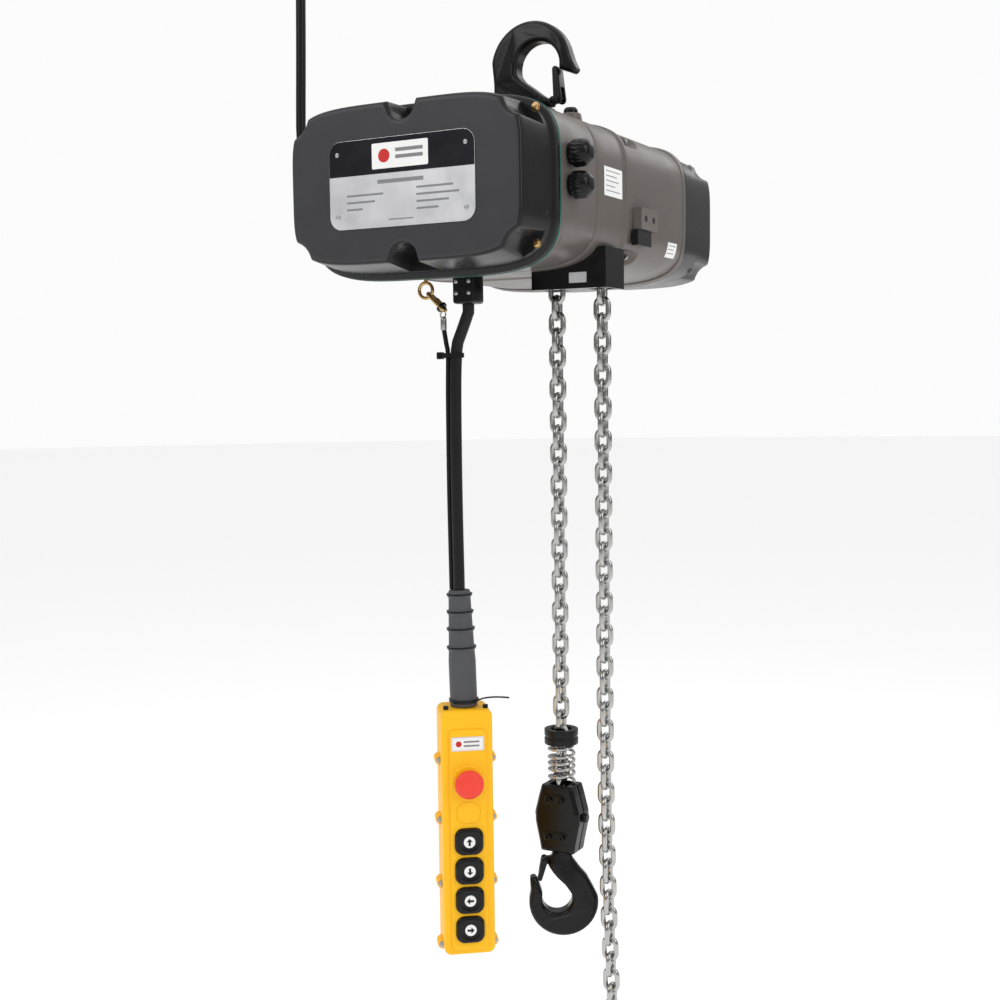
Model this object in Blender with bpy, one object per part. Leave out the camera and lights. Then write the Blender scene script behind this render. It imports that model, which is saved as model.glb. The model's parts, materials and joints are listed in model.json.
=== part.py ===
"""Electric chain hoist on a top hook, with a push-button pendant and a power lead.

Sizes are millimetres, measured from the middle of the front cover's face: x to the right, y back
along the casing, z up. MM turns them into metres, and the parent empty "hoist" moves the world's
origin to the top hook's seat.
"""

import math

import bmesh
import bpy
from mathutils import Matrix, Vector

MM = 0.001
GAP = 0.3
HOOK_SEAT = Vector((74, 225, 196))

# Casing: half sizes of its section, each flange as (half height, level of its middle), and the
# stations along y where one shell ends.
HALF_WIDTH = 174.0
HALF_HEIGHT = 98.0
FRONT_FLANGE = (106.5, -3.5)
REAR_FLANGE = (102.0, 0.0)
FACE_HALF_WIDTH = 160.0
FACE_HALF_HEIGHT = 95.0
SECTION_POWER = 4.5
OVAL_SIDES = 32
FRONT_FACE = 0.0
FRONT_RIM = 72.0
FRONT_SHELF = 52.0
GASKET = (FRONT_RIM + GAP, 74.3)
ELECTRICAL = (GASKET[1] + GAP, 174.8)
BACK_WALL = 10.8
CENTER = (175.2, 274.8)
MOTOR = (275.2, 472.0)
END_SHIELD = (472.4, 484.0)
REAR_RIM = END_SHIELD[1] + GAP
REAR_SHELF = 562.0
REAR_FACE = 630.0
CORNER_NOTCH = (164.0, 92.0, 30.0)
MIDDLE_NOTCH = (0.0, 91.0, 18.0)
COVER_WALL = 5.0

# Chain: a 7.1 mm wire, links on a 21 mm pitch, turned a quarter from one to the next.
WIRE = 7.1
PITCH = 21.0
LINK_WIDTH = 24.0
CHAIN_Y = 225.0
LOAD_X = 94.0
SLACK_X = 158.0
RUN_LINKS = 8
LOAD_LINKS = 36
SLACK_LINKS = 48
BLOCK_PIN_Z = -815.0
SLACK_TOP_Z = -84.0
LINK_HALF = PITCH / 2 + WIRE
PARTED_HALF = PITCH / 2 - GAP / 2

# Gear train: shaft axes as (x, z), one tooth module for all.
MODULE = 3.0
ROTOR_AXIS = Vector((0, 0))
SHEAVE_AXIS = Vector((126, -20))
PINION_TEETH = 10
MOTOR_GEAR_TEETH = 42
LOAD_GEAR_TEETH = 25
LOAD_STAGE = (186.0, 198.0)
MOTOR_STAGE = (263.0, 271.0)
SHAFT = 7.0

# Hooks, hook block and pendant.
TOP_HOOK_X = 62.0
HOOK_THICKNESS = 28.0
BLOCK_TOP = -772.0
BLOCK_BOTTOM = -862.0
LOWER_HOOK_TURN = math.radians(28)
PENDANT_AT = (8.6, 115.0, -139.3)
PENDANT_TURN = math.radians(37)
PENDANT_LEVEL = -652.5
PENDANT_TOP = PENDANT_LEVEL - PENDANT_AT[2]
PENDANT_HEIGHT = 319.0
PENDANT_WIDTH = 66.0
PENDANT_DEPTH = 62.0
PENDANT_WALL = 4.0
LUG_DROPS = (67.0, 145.0, 229.0, 310.0)
STOP_DROP = 91.7
BUTTON_DROPS = (168.6, 207.0, 245.4, 283.8)
BUTTON_SIZE = (36.0, 34.0)
BOOT_TOP = (4.2, 115.0, -502.0)
EYE = (-37.7, 115.0, -120.6)
SNAP_FALL = math.radians(43.7)

# Cords: radius and hand-placed route of each.
PENDANT_CABLE_RADIUS = 7.5
PENDANT_CABLE_ROUTE = (
    (24, 115, -140.4), (24, 115, -150), (16, 115, -169), (8, 115, -187),
    (5, 115, -210), (3.4, 115, -260), (3, 115, -380), (4.2, 115, -501.7),
)
STRAIN_WIRE_RADIUS = 3.0
STRAIN_WIRE_ROUTE = (
    (-12.8, 115, -154.5), (-12, 115, -170), (-9, 115, -188), (-6.6, 115, -205),
    (-7.6, 115, -260), (-8, 115, -380), (-6.8, 115, -501.7),
)
POWER_CABLE_RADIUS = 6.7
POWER_CABLE_ROUTE = (
    (-206.4, 150, 10), (-218, 150, 10), (-240, 154, 26), (-253.5, 158.5, 57),
    (-259, 160, 99), (-258.8, 160, 130), (-256.4, 160, 205), (-254.4, 160, 280), (-254.4, 160, 292),
)

TOWARDS_Y = (-math.pi / 2, 0, 0)
TOWARDS_X = (0, math.pi / 2, 0)
TOWARDS_MINUS_X = (0, -math.pi / 2, 0)

FINISHES = {
    "charcoal_paint": ((0.055, 0.055, 0.062), 0.4, 0.0),
    "housing_paint": ((0.17, 0.152, 0.14), 0.42, 0.35),
    "black_steel": ((0.014, 0.014, 0.015), 0.38, 0.3),
    "bright_steel": ((0.55, 0.55, 0.54), 0.28, 1.0),
    "machined_steel": ((0.42, 0.42, 0.43), 0.35, 1.0),
    "gasket_rubber": ((0.03, 0.2, 0.15), 0.6, 0.0),
    "plate_foil": ((0.62, 0.62, 0.63), 0.35, 0.8),
    "black_plastic": ((0.012, 0.012, 0.013), 0.4, 0.0),
    "black_rubber": ((0.018, 0.018, 0.018), 0.65, 0.0),
    "grey_rubber": ((0.07, 0.07, 0.075), 0.6, 0.0),
    "yellow_plastic": ((0.82, 0.5, 0.015), 0.4, 0.0),
    "red_plastic": ((0.7, 0.04, 0.025), 0.35, 0.0),
    "yellow_zinc": ((0.5, 0.36, 0.17), 0.3, 1.0),
    "copper": ((0.6, 0.28, 0.13), 0.4, 1.0),
    "brake_lining": ((0.1, 0.08, 0.07), 0.8, 0.0),
}


def clear_scene():
    for thing in list(bpy.data.objects):
        bpy.data.objects.remove(thing, do_unlink=True)


def finish(name):
    """The named material, made on first use."""
    if name in bpy.data.materials:
        return bpy.data.materials[name]
    colour, roughness, metallic = FINISHES[name]
    material = bpy.data.materials.new(name)
    material.use_nodes = True
    shader = material.node_tree.nodes["Principled BSDF"]
    shader.inputs["Base Color"].default_value = (*colour, 1)
    shader.inputs["Roughness"].default_value = roughness
    shader.inputs["Metallic"].default_value = metallic
    return material


def place(thing, parent, at, turn=(0, 0, 0)):
    bpy.context.collection.objects.link(thing)
    thing.parent = parent
    thing.location = Vector(at) * MM
    thing.rotation_euler = turn
    return thing


def empty(name, parent, at, turn=(0, 0, 0)):
    return place(bpy.data.objects.new(name, None), parent, at, turn)


def solid(name, shape, look, parent, at=(0, 0, 0), turn=(0, 0, 0)):
    """An object from a mesh in millimetres, with its faces pointing out."""
    bmesh.ops.recalc_face_normals(shape, faces=shape.faces)
    shape.transform(Matrix.Scale(MM, 4))
    mesh = bpy.data.meshes.new(name)
    shape.to_mesh(mesh)
    shape.free()
    mesh.materials.append(finish(look))
    mesh.shade_smooth()
    mesh.set_sharp_from_angle(angle=math.radians(35))
    return place(bpy.data.objects.new(name, mesh), parent, at, turn)


def combine(target, operation, shape, at=(0, 0, 0), turn=(0, 0, 0), parent=None):
    """Cuts a shape from the target, or joins it on. The shape's own object stays as a hidden helper."""
    helper = solid(f"{target.name}_helper", shape, "machined_steel", parent or target.parent, at, turn)
    helper.hide_render = True
    helper.display_type = "WIRE"
    boolean = target.modifiers.new(operation.lower(), "BOOLEAN")
    boolean.operation = operation
    boolean.object = helper
    return helper


def loft(rings, cyclic=False):
    """A closed skin over rings of equal count. A cyclic one joins its last ring to its first."""
    shape = bmesh.new()
    loops = [[shape.verts.new(point) for point in ring] for ring in rings]
    pairs = list(zip(loops, loops[1:]))
    if cyclic:
        pairs.append((loops[-1], loops[0]))
    for near, far in pairs:
        count = len(near)
        for side in range(count):
            after = (side + 1) % count
            shape.faces.new((near[side], near[after], far[after], far[side]))
    if not cyclic:
        shape.faces.new(reversed(loops[0]))
        shape.faces.new(loops[-1])
    return shape


def circle(radius, height, sides):
    angles = [math.tau * (side + 0.5) / sides for side in range(sides)]
    return [(radius * math.cos(angle), radius * math.sin(angle), height) for angle in angles]


def turned(profile, sides=20, cyclic=False):
    """A turned shape about z, from (radius, height) pairs. A cyclic profile leaves a bore."""
    return loft([circle(radius, height, sides) for radius, height in profile], cyclic)


def cylinder(radius, low, high, sides=20):
    return turned(((radius, low), (radius, high)), sides)


def oval(half_width, half_height, depth, power=SECTION_POWER, level=0.0):
    """One ring of the casing's section, a superellipse about this level, at this depth."""
    ring = []
    for side in range(OVAL_SIDES):
        angle = math.tau * (side + 0.5) / OVAL_SIDES
        across, up = math.cos(angle), math.sin(angle)
        x = half_width * math.copysign(abs(across) ** (2 / power), across)
        z = half_height * math.copysign(abs(up) ** (2 / power), up)
        ring.append((x, depth, level + z))
    return ring


def inset(outline, amount):
    """The (x, z) outline moved inwards by this amount."""
    area = sum(a.cross(b) for a, b in zip(outline, outline[1:] + outline[:1]))
    inwards = math.copysign(amount, area)
    moved = []
    for before, point, after in zip(outline[-1:] + outline[:-1], outline, outline[1:] + outline[:1]):
        arriving = (point - before).normalized()
        leaving = (after - point).normalized()
        corner = 1 + arriving.dot(leaving)
        across = arriving + leaving
        moved.append(point + Vector((-across.y, across.x)) * inwards / corner)
    return moved


def at_depth(outline, depth):
    return [(point.x, depth, point.y) for point in outline]


def prism(outline, near, far, chamfer=0.0):
    """An (x, z) outline pulled along y, with both rims chamfered where asked."""
    outline = [Vector(point) for point in outline]
    if not chamfer:
        return loft([at_depth(outline, near), at_depth(outline, far)])
    small = inset(outline, chamfer)
    return loft([
        at_depth(small, near), at_depth(outline, near + chamfer),
        at_depth(outline, far - chamfer), at_depth(small, far),
    ])


def block(low, high):
    return loft([[(x, y, z) for x, y in ((low[0], low[1]), (high[0], low[1]),
                                         (high[0], high[1]), (low[0], high[1]))]
                 for z in (low[2], high[2])])


def arc(centre, radius, start, end, steps):
    """Points along an arc in the x-z plane, its angles in degrees."""
    angles = [math.radians(start + (end - start) * step / steps) for step in range(steps + 1)]
    return [(centre[0] + radius * math.cos(angle), centre[1] + radius * math.sin(angle))
            for angle in angles]


def rounded(width, height, radius, steps=2, middle=(0, 0)):
    """The outline of a rectangle with round corners."""
    outline = []
    for start, side, level in ((0, 1, 1), (90, -1, 1), (180, -1, -1), (270, 1, -1)):
        centre = (middle[0] + side * (width / 2 - radius), middle[1] + level * (height / 2 - radius))
        outline += arc(centre, radius, start, start + 90, steps)
    return outline


def notch_cylinders(notches, grow, near, far):
    """The cover's six screw notches as cylinders along y: four corners, top and bottom middle."""
    shape = bmesh.new()
    places = [(side * notches[0][0], level * notches[0][1], notches[0][2])
              for side in (-1, 1) for level in (-1, 1)]
    places += [(0, level * notches[1][1], notches[1][2]) for level in (-1, 1)]
    for x, z, radius in places:
        outline = arc((x, z), radius + grow, 0, 337.5, 15)
        part = prism(outline, near, far)
        mesh = bpy.data.meshes.new("notch")
        part.to_mesh(mesh)
        part.free()
        shape.from_mesh(mesh)
        bpy.data.meshes.remove(mesh)
    return shape


def cover(name, face, rim, shelf, flange, parent):
    """A cover shell, open at its rim, whose screw notches run from the face down to the shelf."""
    back = math.copysign(1, rim - face)
    height, level = flange
    shell = solid(name, loft([
        oval(FACE_HALF_WIDTH - 5, FACE_HALF_HEIGHT - 5, face, 5),
        oval(FACE_HALF_WIDTH - 1, FACE_HALF_HEIGHT - 1, face + back * 2, 5),
        oval(FACE_HALF_WIDTH, FACE_HALF_HEIGHT, face + back * 6, 5),
        oval(HALF_WIDTH - 5, height - 7, rim - back * 10, 4.6, level),
        oval(HALF_WIDTH, height, rim - back * 6, 4.3, level),
        oval(HALF_WIDTH, height, rim, 4.3, level),
    ]), "charcoal_paint", parent)
    outside = face - back * 2
    combine(shell, "DIFFERENCE", notch_cylinders((CORNER_NOTCH, MIDDLE_NOTCH), 0, outside, shelf))
    hollow = combine(shell, "DIFFERENCE", loft([
        oval(FACE_HALF_WIDTH - 6, FACE_HALF_HEIGHT - 6, face + back * COVER_WALL, 5),
        oval(HALF_WIDTH - 13, height - 15, rim + back * 2, 4.6, level),
    ]))
    floor = shelf + back * COVER_WALL
    notches = combine(hollow, "DIFFERENCE",
                      notch_cylinders((CORNER_NOTCH, MIDDLE_NOTCH), COVER_WALL, outside, floor))
    notches.name = f"{name}_notch_walls"


def casing(hoist):
    cover("front_cover", FRONT_FACE, FRONT_RIM, FRONT_SHELF, FRONT_FLANGE, hoist)
    cover("rear_cover", REAR_FACE, REAR_RIM, REAR_SHELF, REAR_FLANGE, hoist)
    height, level = FRONT_FLANGE
    solid("front_gasket", loft([
        oval(HALF_WIDTH + 0.5, height + 0.5, GASKET[0], 4.3, level),
        oval(HALF_WIDTH + 0.5, height + 0.5, GASKET[1], 4.3, level),
        oval(HALF_WIDTH - 12, height - 14, GASKET[1], 4.3, level),
        oval(HALF_WIDTH - 12, height - 14, GASKET[0], 4.3, level),
    ], cyclic=True), "gasket_rubber", hoist)
    solid("nameplate", prism(rounded(202, 105, 16, 3), FRONT_FACE - 1.3, FRONT_FACE - GAP),
          "plate_foil", hoist)
    electrical_housing(hoist)
    center_housing(hoist)
    motor_housing(hoist)
    shield = solid("end_shield", loft([
        oval(HALF_WIDTH, HALF_HEIGHT + 2, END_SHIELD[0]),
        oval(HALF_WIDTH, HALF_HEIGHT + 4, END_SHIELD[1]),
    ]), "housing_paint", hoist)
    combine(shield, "DIFFERENCE", cylinder(20.3, END_SHIELD[0] - 2, END_SHIELD[1] + 2),
            turn=TOWARDS_Y)


def electrical_housing(hoist):
    front, back = ELECTRICAL
    height, level = FRONT_FLANGE
    solid("electrical_housing", loft([
        oval(HALF_WIDTH - 7, HALF_HEIGHT - 7, back - BACK_WALL),
        oval(HALF_WIDTH - 7, HALF_HEIGHT - 7, front + 18),
        oval(HALF_WIDTH - 9, height - 12, front, level=level),
        oval(HALF_WIDTH, height, front, 4.3, level),
        oval(HALF_WIDTH, height - 1, front + 4, 4.3, level),
        oval(HALF_WIDTH, HALF_HEIGHT, front + 20),
        oval(HALF_WIDTH, HALF_HEIGHT, back),
    ]), "housing_paint", hoist)


def center_housing(hoist):
    """The gear housing: a boss for the top hook, one for the oil plug, and the chain's opening."""
    front, back = CENTER
    housing = solid("center_housing", loft([
        oval(HALF_WIDTH, HALF_HEIGHT, front), oval(HALF_WIDTH, HALF_HEIGHT, back),
        oval(HALF_WIDTH - 6, HALF_HEIGHT - 7, back), oval(HALF_WIDTH - 6, HALF_HEIGHT - 7, front),
    ], cyclic=True), "housing_paint", hoist)
    combine(housing, "UNION", turned(((30, 85), (30, 108), (26, 112)), 16), (TOP_HOOK_X, CHAIN_Y, 0))
    combine(housing, "UNION", turned(((13.5, 84), (13.5, 95), (12, 97)), 12), (128, 200, 0))
    combine(housing, "DIFFERENCE", cylinder(17.4, 80, 120), (TOP_HOOK_X, CHAIN_Y, 0))
    combine(housing, "DIFFERENCE", block((78, 208, -130), (163, 242, -50)))


def motor_housing(hoist):
    """The motor's shell, closed by a bearing wall in front, with a bolt groove at each corner."""
    front, back = MOTOR
    housing = solid("motor_housing", loft([
        oval(HALF_WIDTH - 14, HALF_HEIGHT - 10, front + 10, 3),
        oval(HALF_WIDTH - 14, HALF_HEIGHT - 10, back, 3),
        oval(HALF_WIDTH, HALF_HEIGHT, back),
        oval(HALF_WIDTH, HALF_HEIGHT, front),
    ]), "housing_paint", hoist)
    combine(housing, "DIFFERENCE", cylinder(20.3, front - 2, front + 14), turn=TOWARDS_Y)
    for side in (-1, 1):
        for level in (-1, 1):
            combine(housing, "DIFFERENCE", cylinder(14, front - 2, front + 55, 12),
                    (side * 161, 0, level * 80), TOWARDS_Y)


def casing_fittings(hoist):
    gland = ((13, 0), (13, 4), (16.5, 5), (16.5, 17), (14, 23.5), (8.5, 27))
    for name, level in (("side_gland_upper", 30), ("side_gland_lower", -7)):
        solid(name, turned(gland, 16), "black_plastic", hoist,
              (HALF_WIDTH + GAP, 102, level), TOWARDS_X)
    solid("oil_plug", turned(((9, 0), (9, 5), (7, 7)), 12), "black_steel", hoist, (128, 200, 97.3))
    sleeve = ((14, 0), (14, 10), (11.5, 12), (11.5, 18), (9, 31.7))
    solid("power_cable_gland", turned(sleeve, 16), "black_plastic", hoist,
          (-HALF_WIDTH - GAP, 150, 10), TOWARDS_MINUS_X)
    pendant_gland(hoist)
    eye_bolt(hoist)
    snap_hook(hoist)
    bag_bracket(hoist)
    chain_guide(hoist)


def pendant_gland(hoist):
    """The block under the electrical housing that clamps the pendant's cable."""
    solid("pendant_cable_gland", prism(rounded(29, 41.5, 3, 2, (24, -119.25)), 100.5, 129.5, 2),
          "black_plastic", hoist)


def ring_shape(radius, wire, sides=14, around=6):
    """A round wire ring about y."""
    rings = []
    for side in range(sides):
        angle = math.tau * side / sides
        outwards = Vector((math.cos(angle), 0, math.sin(angle)))
        rings.append([outwards * (radius + x) + Vector((0, y, 0)) for x, y, _ in circle(wire, 0, around)])
    return loft(rings, cyclic=True)


def eye_bolt(hoist):
    bolt = solid("eye_bolt", ring_shape(9.75, 2.25), "yellow_zinc", hoist, EYE)
    combine(bolt, "UNION", turned(((2.5, 8), (2.5, 16), (7, 17), (7, 20), (3, 21), (3, 22)), 10), EYE)


def snap_hook(hoist):
    """The link from the eye bolt to the strain wire: it hangs edge-on through the eye."""
    outline = [Vector(point) for point in rounded(12, 36, 5.9, 3)]
    inner = inset(outline, 3.2)
    sections = ((outline, -1.9), (outline, 1.9), (inner, 1.9), (inner, -1.9))
    rings = [[(depth, point.x, point.y) for point in ring] for ring, depth in sections]
    fall = Vector((math.cos(SNAP_FALL), 0, -math.sin(SNAP_FALL)))
    solid("snap_hook", loft(rings, cyclic=True), "yellow_zinc", hoist,
          Vector(EYE) + fall * 21.75, (0, SNAP_FALL - math.pi / 2, 0))


def bag_bracket(hoist):
    """A U of sheet steel with two holes, and the clip under it."""
    near, far = HALF_WIDTH + GAP, HALF_WIDTH + 12
    bracket = solid("chain_bag_bracket", block((near, 290, -41), (far, 346, -13)), "housing_paint", hoist)
    combine(bracket, "DIFFERENCE", block((near - 1, 293, -42), (far - 3, 343, -12)))
    combine(bracket, "UNION", block((near, 290, -41), (near + 3, 301, -13)))
    combine(bracket, "UNION", block((near, 335, -41), (near + 3, 346, -13)))
    for hole in (306, 332):
        combine(bracket, "DIFFERENCE", cylinder(4.5, far - 8, far + 3, 12), (0, hole, -27), TOWARDS_X)
    solid("chain_bag_clip", block((near, 284, -62), (near + 9, 330, -42.5)), "black_steel", hoist)


def chain_guide(hoist):
    """The guide under the centre housing, shaped to its underside, with a slot for each chain."""
    guide = solid("chain_guide", block((72, 196, -121), (176, 254, -70)), "black_plastic", hoist)
    combine(guide, "DIFFERENCE", loft([oval(HALF_WIDTH + GAP, HALF_HEIGHT + GAP, depth)
                                       for depth in (190, 260)]))
    for x in (LOAD_X, SLACK_X):
        combine(guide, "DIFFERENCE", block((x - 14, CHAIN_Y - 14, -125), (x + 14, CHAIN_Y + 14, -60)))
    solid("chain_guide_plate", block((126, 194.2, -114), (150, 195.7, -101)), "plate_foil", hoist)


def gear_outline(teeth, phase):
    """A spur gear's outline, its first tooth pointing along the phase angle."""
    radius = MODULE * teeth / 2
    step = math.tau / teeth
    flank = ((-0.25, -1.1), (-0.12, 0.8), (0.12, 0.8), (0.25, -1.1))
    return [Vector(((radius + depth * MODULE) * math.cos(phase + (tooth + turn) * step),
                    (radius + depth * MODULE) * math.sin(phase + (tooth + turn) * step)))
            for tooth in range(teeth) for turn, depth in flank]


def intermediate_axis():
    """Where two gears of these sizes both mesh: one with the rotor's, one with the sheave's."""
    to_rotor = MODULE * (PINION_TEETH + MOTOR_GEAR_TEETH) / 2
    to_sheave = MODULE * (PINION_TEETH + LOAD_GEAR_TEETH) / 2
    span = SHEAVE_AXIS - ROTOR_AXIS
    along = (to_rotor ** 2 - to_sheave ** 2 + span.length_squared) / (2 * span.length)
    aside = math.sqrt(to_rotor ** 2 - along ** 2)
    direction = span.normalized()
    return ROTOR_AXIS + direction * along + Vector((-direction.y, direction.x)) * aside


def gear(name, teeth, phase, stage, axis, parent):
    shape = prism(gear_outline(teeth, phase), *stage)
    return solid(name, shape, "machined_steel", parent, (axis.x, 0, axis.y))


def gear_train(hoist):
    """Rotor pinion to intermediate gear to load gear, each tooth set facing the next one's gap."""
    middle = intermediate_axis()
    to_rotor = math.atan2(*reversed(ROTOR_AXIS - middle))
    to_sheave = math.atan2(*reversed(SHEAVE_AXIS - middle))
    half_tooth = math.pi / PINION_TEETH
    pinion = gear("motor_pinion", PINION_TEETH, to_rotor + math.pi + half_tooth, MOTOR_STAGE,
                  ROTOR_AXIS, hoist)
    combine(pinion, "DIFFERENCE", cylinder(SHAFT + GAP, MOTOR_STAGE[0] - 2, MOTOR_STAGE[1] + 2),
            turn=TOWARDS_Y)
    cluster = gear("intermediate_gear", MOTOR_GEAR_TEETH, to_rotor, MOTOR_STAGE, middle, hoist)
    at = (middle.x, 0, middle.y)
    combine(cluster, "UNION", prism(gear_outline(PINION_TEETH, to_sheave), *LOAD_STAGE), at)
    combine(cluster, "UNION", cylinder(8, 178, 273, 12), at, TOWARDS_Y)
    half_tooth = math.pi / LOAD_GEAR_TEETH
    wheel = gear("load_gear", LOAD_GEAR_TEETH, to_sheave + math.pi + half_tooth, LOAD_STAGE,
                 SHEAVE_AXIS, hoist)
    combine(wheel, "DIFFERENCE", cylinder(9 + GAP, LOAD_STAGE[0] - 2, LOAD_STAGE[1] + 2),
            (SHEAVE_AXIS.x, 0, SHEAVE_AXIS.y), TOWARDS_Y)
    profile = ((9, 178), (9, 205), (16, 205.5), (16, 209), (40, 210), (40, 219), (29, 220),
               (29, 230), (40, 231), (40, 240), (16, 241), (16, 246), (9, 246.5), (9, 256))
    solid("load_sheave", turned(profile, 16), "machined_steel", hoist,
          (SHEAVE_AXIS.x, 0, SHEAVE_AXIS.y), TOWARDS_Y)


def motor(hoist):
    profile = ((SHAFT, 262), (SHAFT, 300), (50, 301), (50, 439), (SHAFT, 440), (SHAFT, 534))
    solid("rotor", turned(profile), "machined_steel", hoist, turn=TOWARDS_Y)
    tube = ((86, 300), (86, 440), (52, 440), (52, 300))
    solid("stator", turned(tube, 24, cyclic=True), "copper", hoist, turn=TOWARDS_Y)
    for name, near in (("bearing_front", MOTOR[0] + 0.5), ("bearing_rear", END_SHIELD[0] + 1)):
        race = ((20, near), (20, near + 9), (SHAFT + GAP, near + 9), (SHAFT + GAP, near))
        solid(name, turned(race, cyclic=True), "bright_steel", hoist, turn=TOWARDS_Y)
    near = END_SHIELD[1] + GAP
    coil = ((62, near), (62, near + 35), (16, near + 35), (16, near))
    solid("brake_coil", turned(coil, cyclic=True), "copper", hoist, turn=TOWARDS_Y)
    near += 37
    disc = ((60, near), (60, near + 8), (SHAFT + GAP, near + 8), (SHAFT + GAP, near))
    solid("brake_disc", turned(disc, cyclic=True), "brake_lining", hoist, turn=TOWARDS_Y)


def controls(hoist):
    """What sits on the electrical housing's back wall."""
    wall = ELECTRICAL[1] - BACK_WALL - GAP
    contactor = solid("contactor", block((-130, 118, -40), (-50, wall, 45)), "black_plastic", hoist)
    combine(contactor, "UNION", block((-122, 106, -22), (-58, 119, 27)))
    transformer = solid("transformer", block((60, 124, -60), (130, wall, 0)), "machined_steel", hoist)
    combine(transformer, "UNION", block((70, 114, -52), (120, 125, -8)))
    board = solid("terminal_board", block((-36, 152, -70), (44, wall, -34)), "yellow_plastic", hoist)
    combine(board, "UNION", block((-30, 142, -60), (38, 153, -44)))


def latch(name, parent, pivot, end, half_thickness):
    """A spring latch from its pivot to its end, forked round the hook's lug and bored for the pin."""
    reach = Vector(end) - Vector(pivot)
    turn = math.degrees(math.atan2(reach.y, reach.x))
    tip = arc((reach.x, reach.y), half_thickness, turn - 90, turn + 90, 4)
    foot = arc((0, 0), half_thickness + 1.5, turn + 90, turn + 270, 4)
    at = (pivot[0], 0, pivot[1])
    bar = solid(name, prism(tip + foot, -9, 9), "black_steel", parent, at)
    fork = [Vector(point) for point in rounded(2 * half_thickness + 22, 2 * half_thickness + 22, 1, 1)]
    combine(bar, "DIFFERENCE", prism(fork, -5.4, 5.4), at)
    combine(bar, "DIFFERENCE", cylinder(2.9, -12, 12, 8), at, TOWARDS_Y)


def forged_hook(name, outline, pivot, lug_reach, stem, parent):
    """A forged hook: its outline as a chamfered plate, its stem, and the latch's lug and pin."""
    body = solid(name, prism(outline, -HOOK_THICKNESS / 2, HOOK_THICKNESS / 2, 4), "black_steel", parent)
    combine(body, "UNION", turned(stem))
    low, high = sorted((pivot[0], pivot[0] + lug_reach))
    combine(body, "UNION", block((low, -5, pivot[1] - 5), (high, 5, pivot[1] + 5)), parent=parent)
    combine(body, "UNION", cylinder(5, -5, 5, 12), (pivot[0], 0, pivot[1]), TOWARDS_Y)
    combine(body, "UNION", cylinder(2.5, -11, 11, 8), (pivot[0], 0, pivot[1]), TOWARDS_Y)


def hex_nut(name, radius, stem, low, high, parent):
    """A nut whose bore is six-sided too, and clears the stem by the usual gap."""
    bore = (stem + GAP) / math.cos(math.pi / 6)
    profile = ((radius, low), (radius, high), (bore, high), (bore, low))
    solid(name, turned(profile, 6, cyclic=True), "machined_steel", parent)


def top_hook(hoist):
    """The suspension hook on its swivel: x is measured from the swivel's axis."""
    frame = empty("top_hook_frame", hoist, (TOP_HOOK_X, CHAIN_Y, 0))
    pivot = (39, 122)
    outline = [(-46, 114), (-53.4, 122), (-53.4, 150)]
    outline += arc((0, 167), 57, 170, 15, 10)
    outline += [(59.4, 168.8), (66, 156), (60, 151.5), (52, 155)]
    outline += arc((12, 165), 31, -12, 195, 12)
    outline += [(-12.5, 150), (2, 139.6), (16, 129), (29, 121.6), (30, 114)]
    stem = ((13, 60), (13, 82), (17, 84), (17, 118))
    forged_hook("top_hook", outline, pivot, -12, stem, frame)
    latch("top_latch", frame, pivot, (36, 159), 4)
    hex_nut("top_hook_nut", 24, 13, 66, 81, frame)


def lower_hook(hoist):
    """The load hook on its swivel: x is measured from the swivel's axis, z from the block."""
    at = (LOAD_X, CHAIN_Y, BLOCK_BOTTOM - GAP)
    frame = empty("lower_hook_frame", hoist, at, (0, 0, LOWER_HOOK_TURN))
    pivot = (-24.5, -14)
    outline = [(-12.8, 0), (-18.8, -21.5), (-13.4, -29.5), (-6.7, -37.6), (2.7, -46)]
    outline += arc((-8, -64), 20, 17, -68, 5)
    outline += arc((-8, -64), 20, -112, -197, 5)
    outline += [(-30.5, -48), (-32.2, -41.6), (-37.6, -35), (-44.3, -37)]
    outline += arc((1, -70.5), 46.5, 162, 368, 13)
    outline += [(40.3, -50), (32.2, -35), (22.8, -24), (13.4, -10.7), (11, 0)]
    stem = ((10, -6), (10, 24))
    forged_hook("lower_hook", outline, pivot, 14, stem, frame)
    latch("lower_latch", frame, pivot, (-30.5, -38), 3)
    hex_nut("lower_hook_nut", 16.5, 10, 13, 23, frame)


def hook_block(hoist):
    """Two halves bolted round the chain's last link and the hook's nut."""
    at = (LOAD_X, CHAIN_Y, 0)
    right = [(24, BLOCK_BOTTOM), (26, -850), (32, -822), (32, -808), (26, -785), (22, BLOCK_TOP)]
    outline = [Vector(point) for point in right] + [Vector((-x, z)) for x, z in reversed(right)]
    small = inset(outline, 4)
    for name, side in (("hook_block_front", -1), ("hook_block_rear", 1)):
        half = solid(name, loft([at_depth(small, side * 20), at_depth(outline, side * 16),
                                 at_depth(outline, side * GAP / 2)]), "black_steel", hoist, at)
        combine(half, "DIFFERENCE", block((-13, -13, -834), (13, 13, BLOCK_TOP + 5)), at)
        combine(half, "DIFFERENCE", block((-17.5, -17.5, -850.3), (17.5, 17.5, -833)), at)
        combine(half, "DIFFERENCE", cylinder(10.4, BLOCK_BOTTOM - 5, -848), at)
        combine(half, "DIFFERENCE", cylinder(6.3, -40, 40, 12), (LOAD_X, CHAIN_Y, BLOCK_PIN_Z), TOWARDS_X)
    pin = ((6, -37.5), (6, -14), (3.2, -13.5), (3.2, 13.5), (6, 14), (6, 37.5))
    solid("hook_block_pin", turned(pin, 12), "black_steel", hoist,
          (LOAD_X, CHAIN_Y, BLOCK_PIN_Z), TOWARDS_X)


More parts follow.
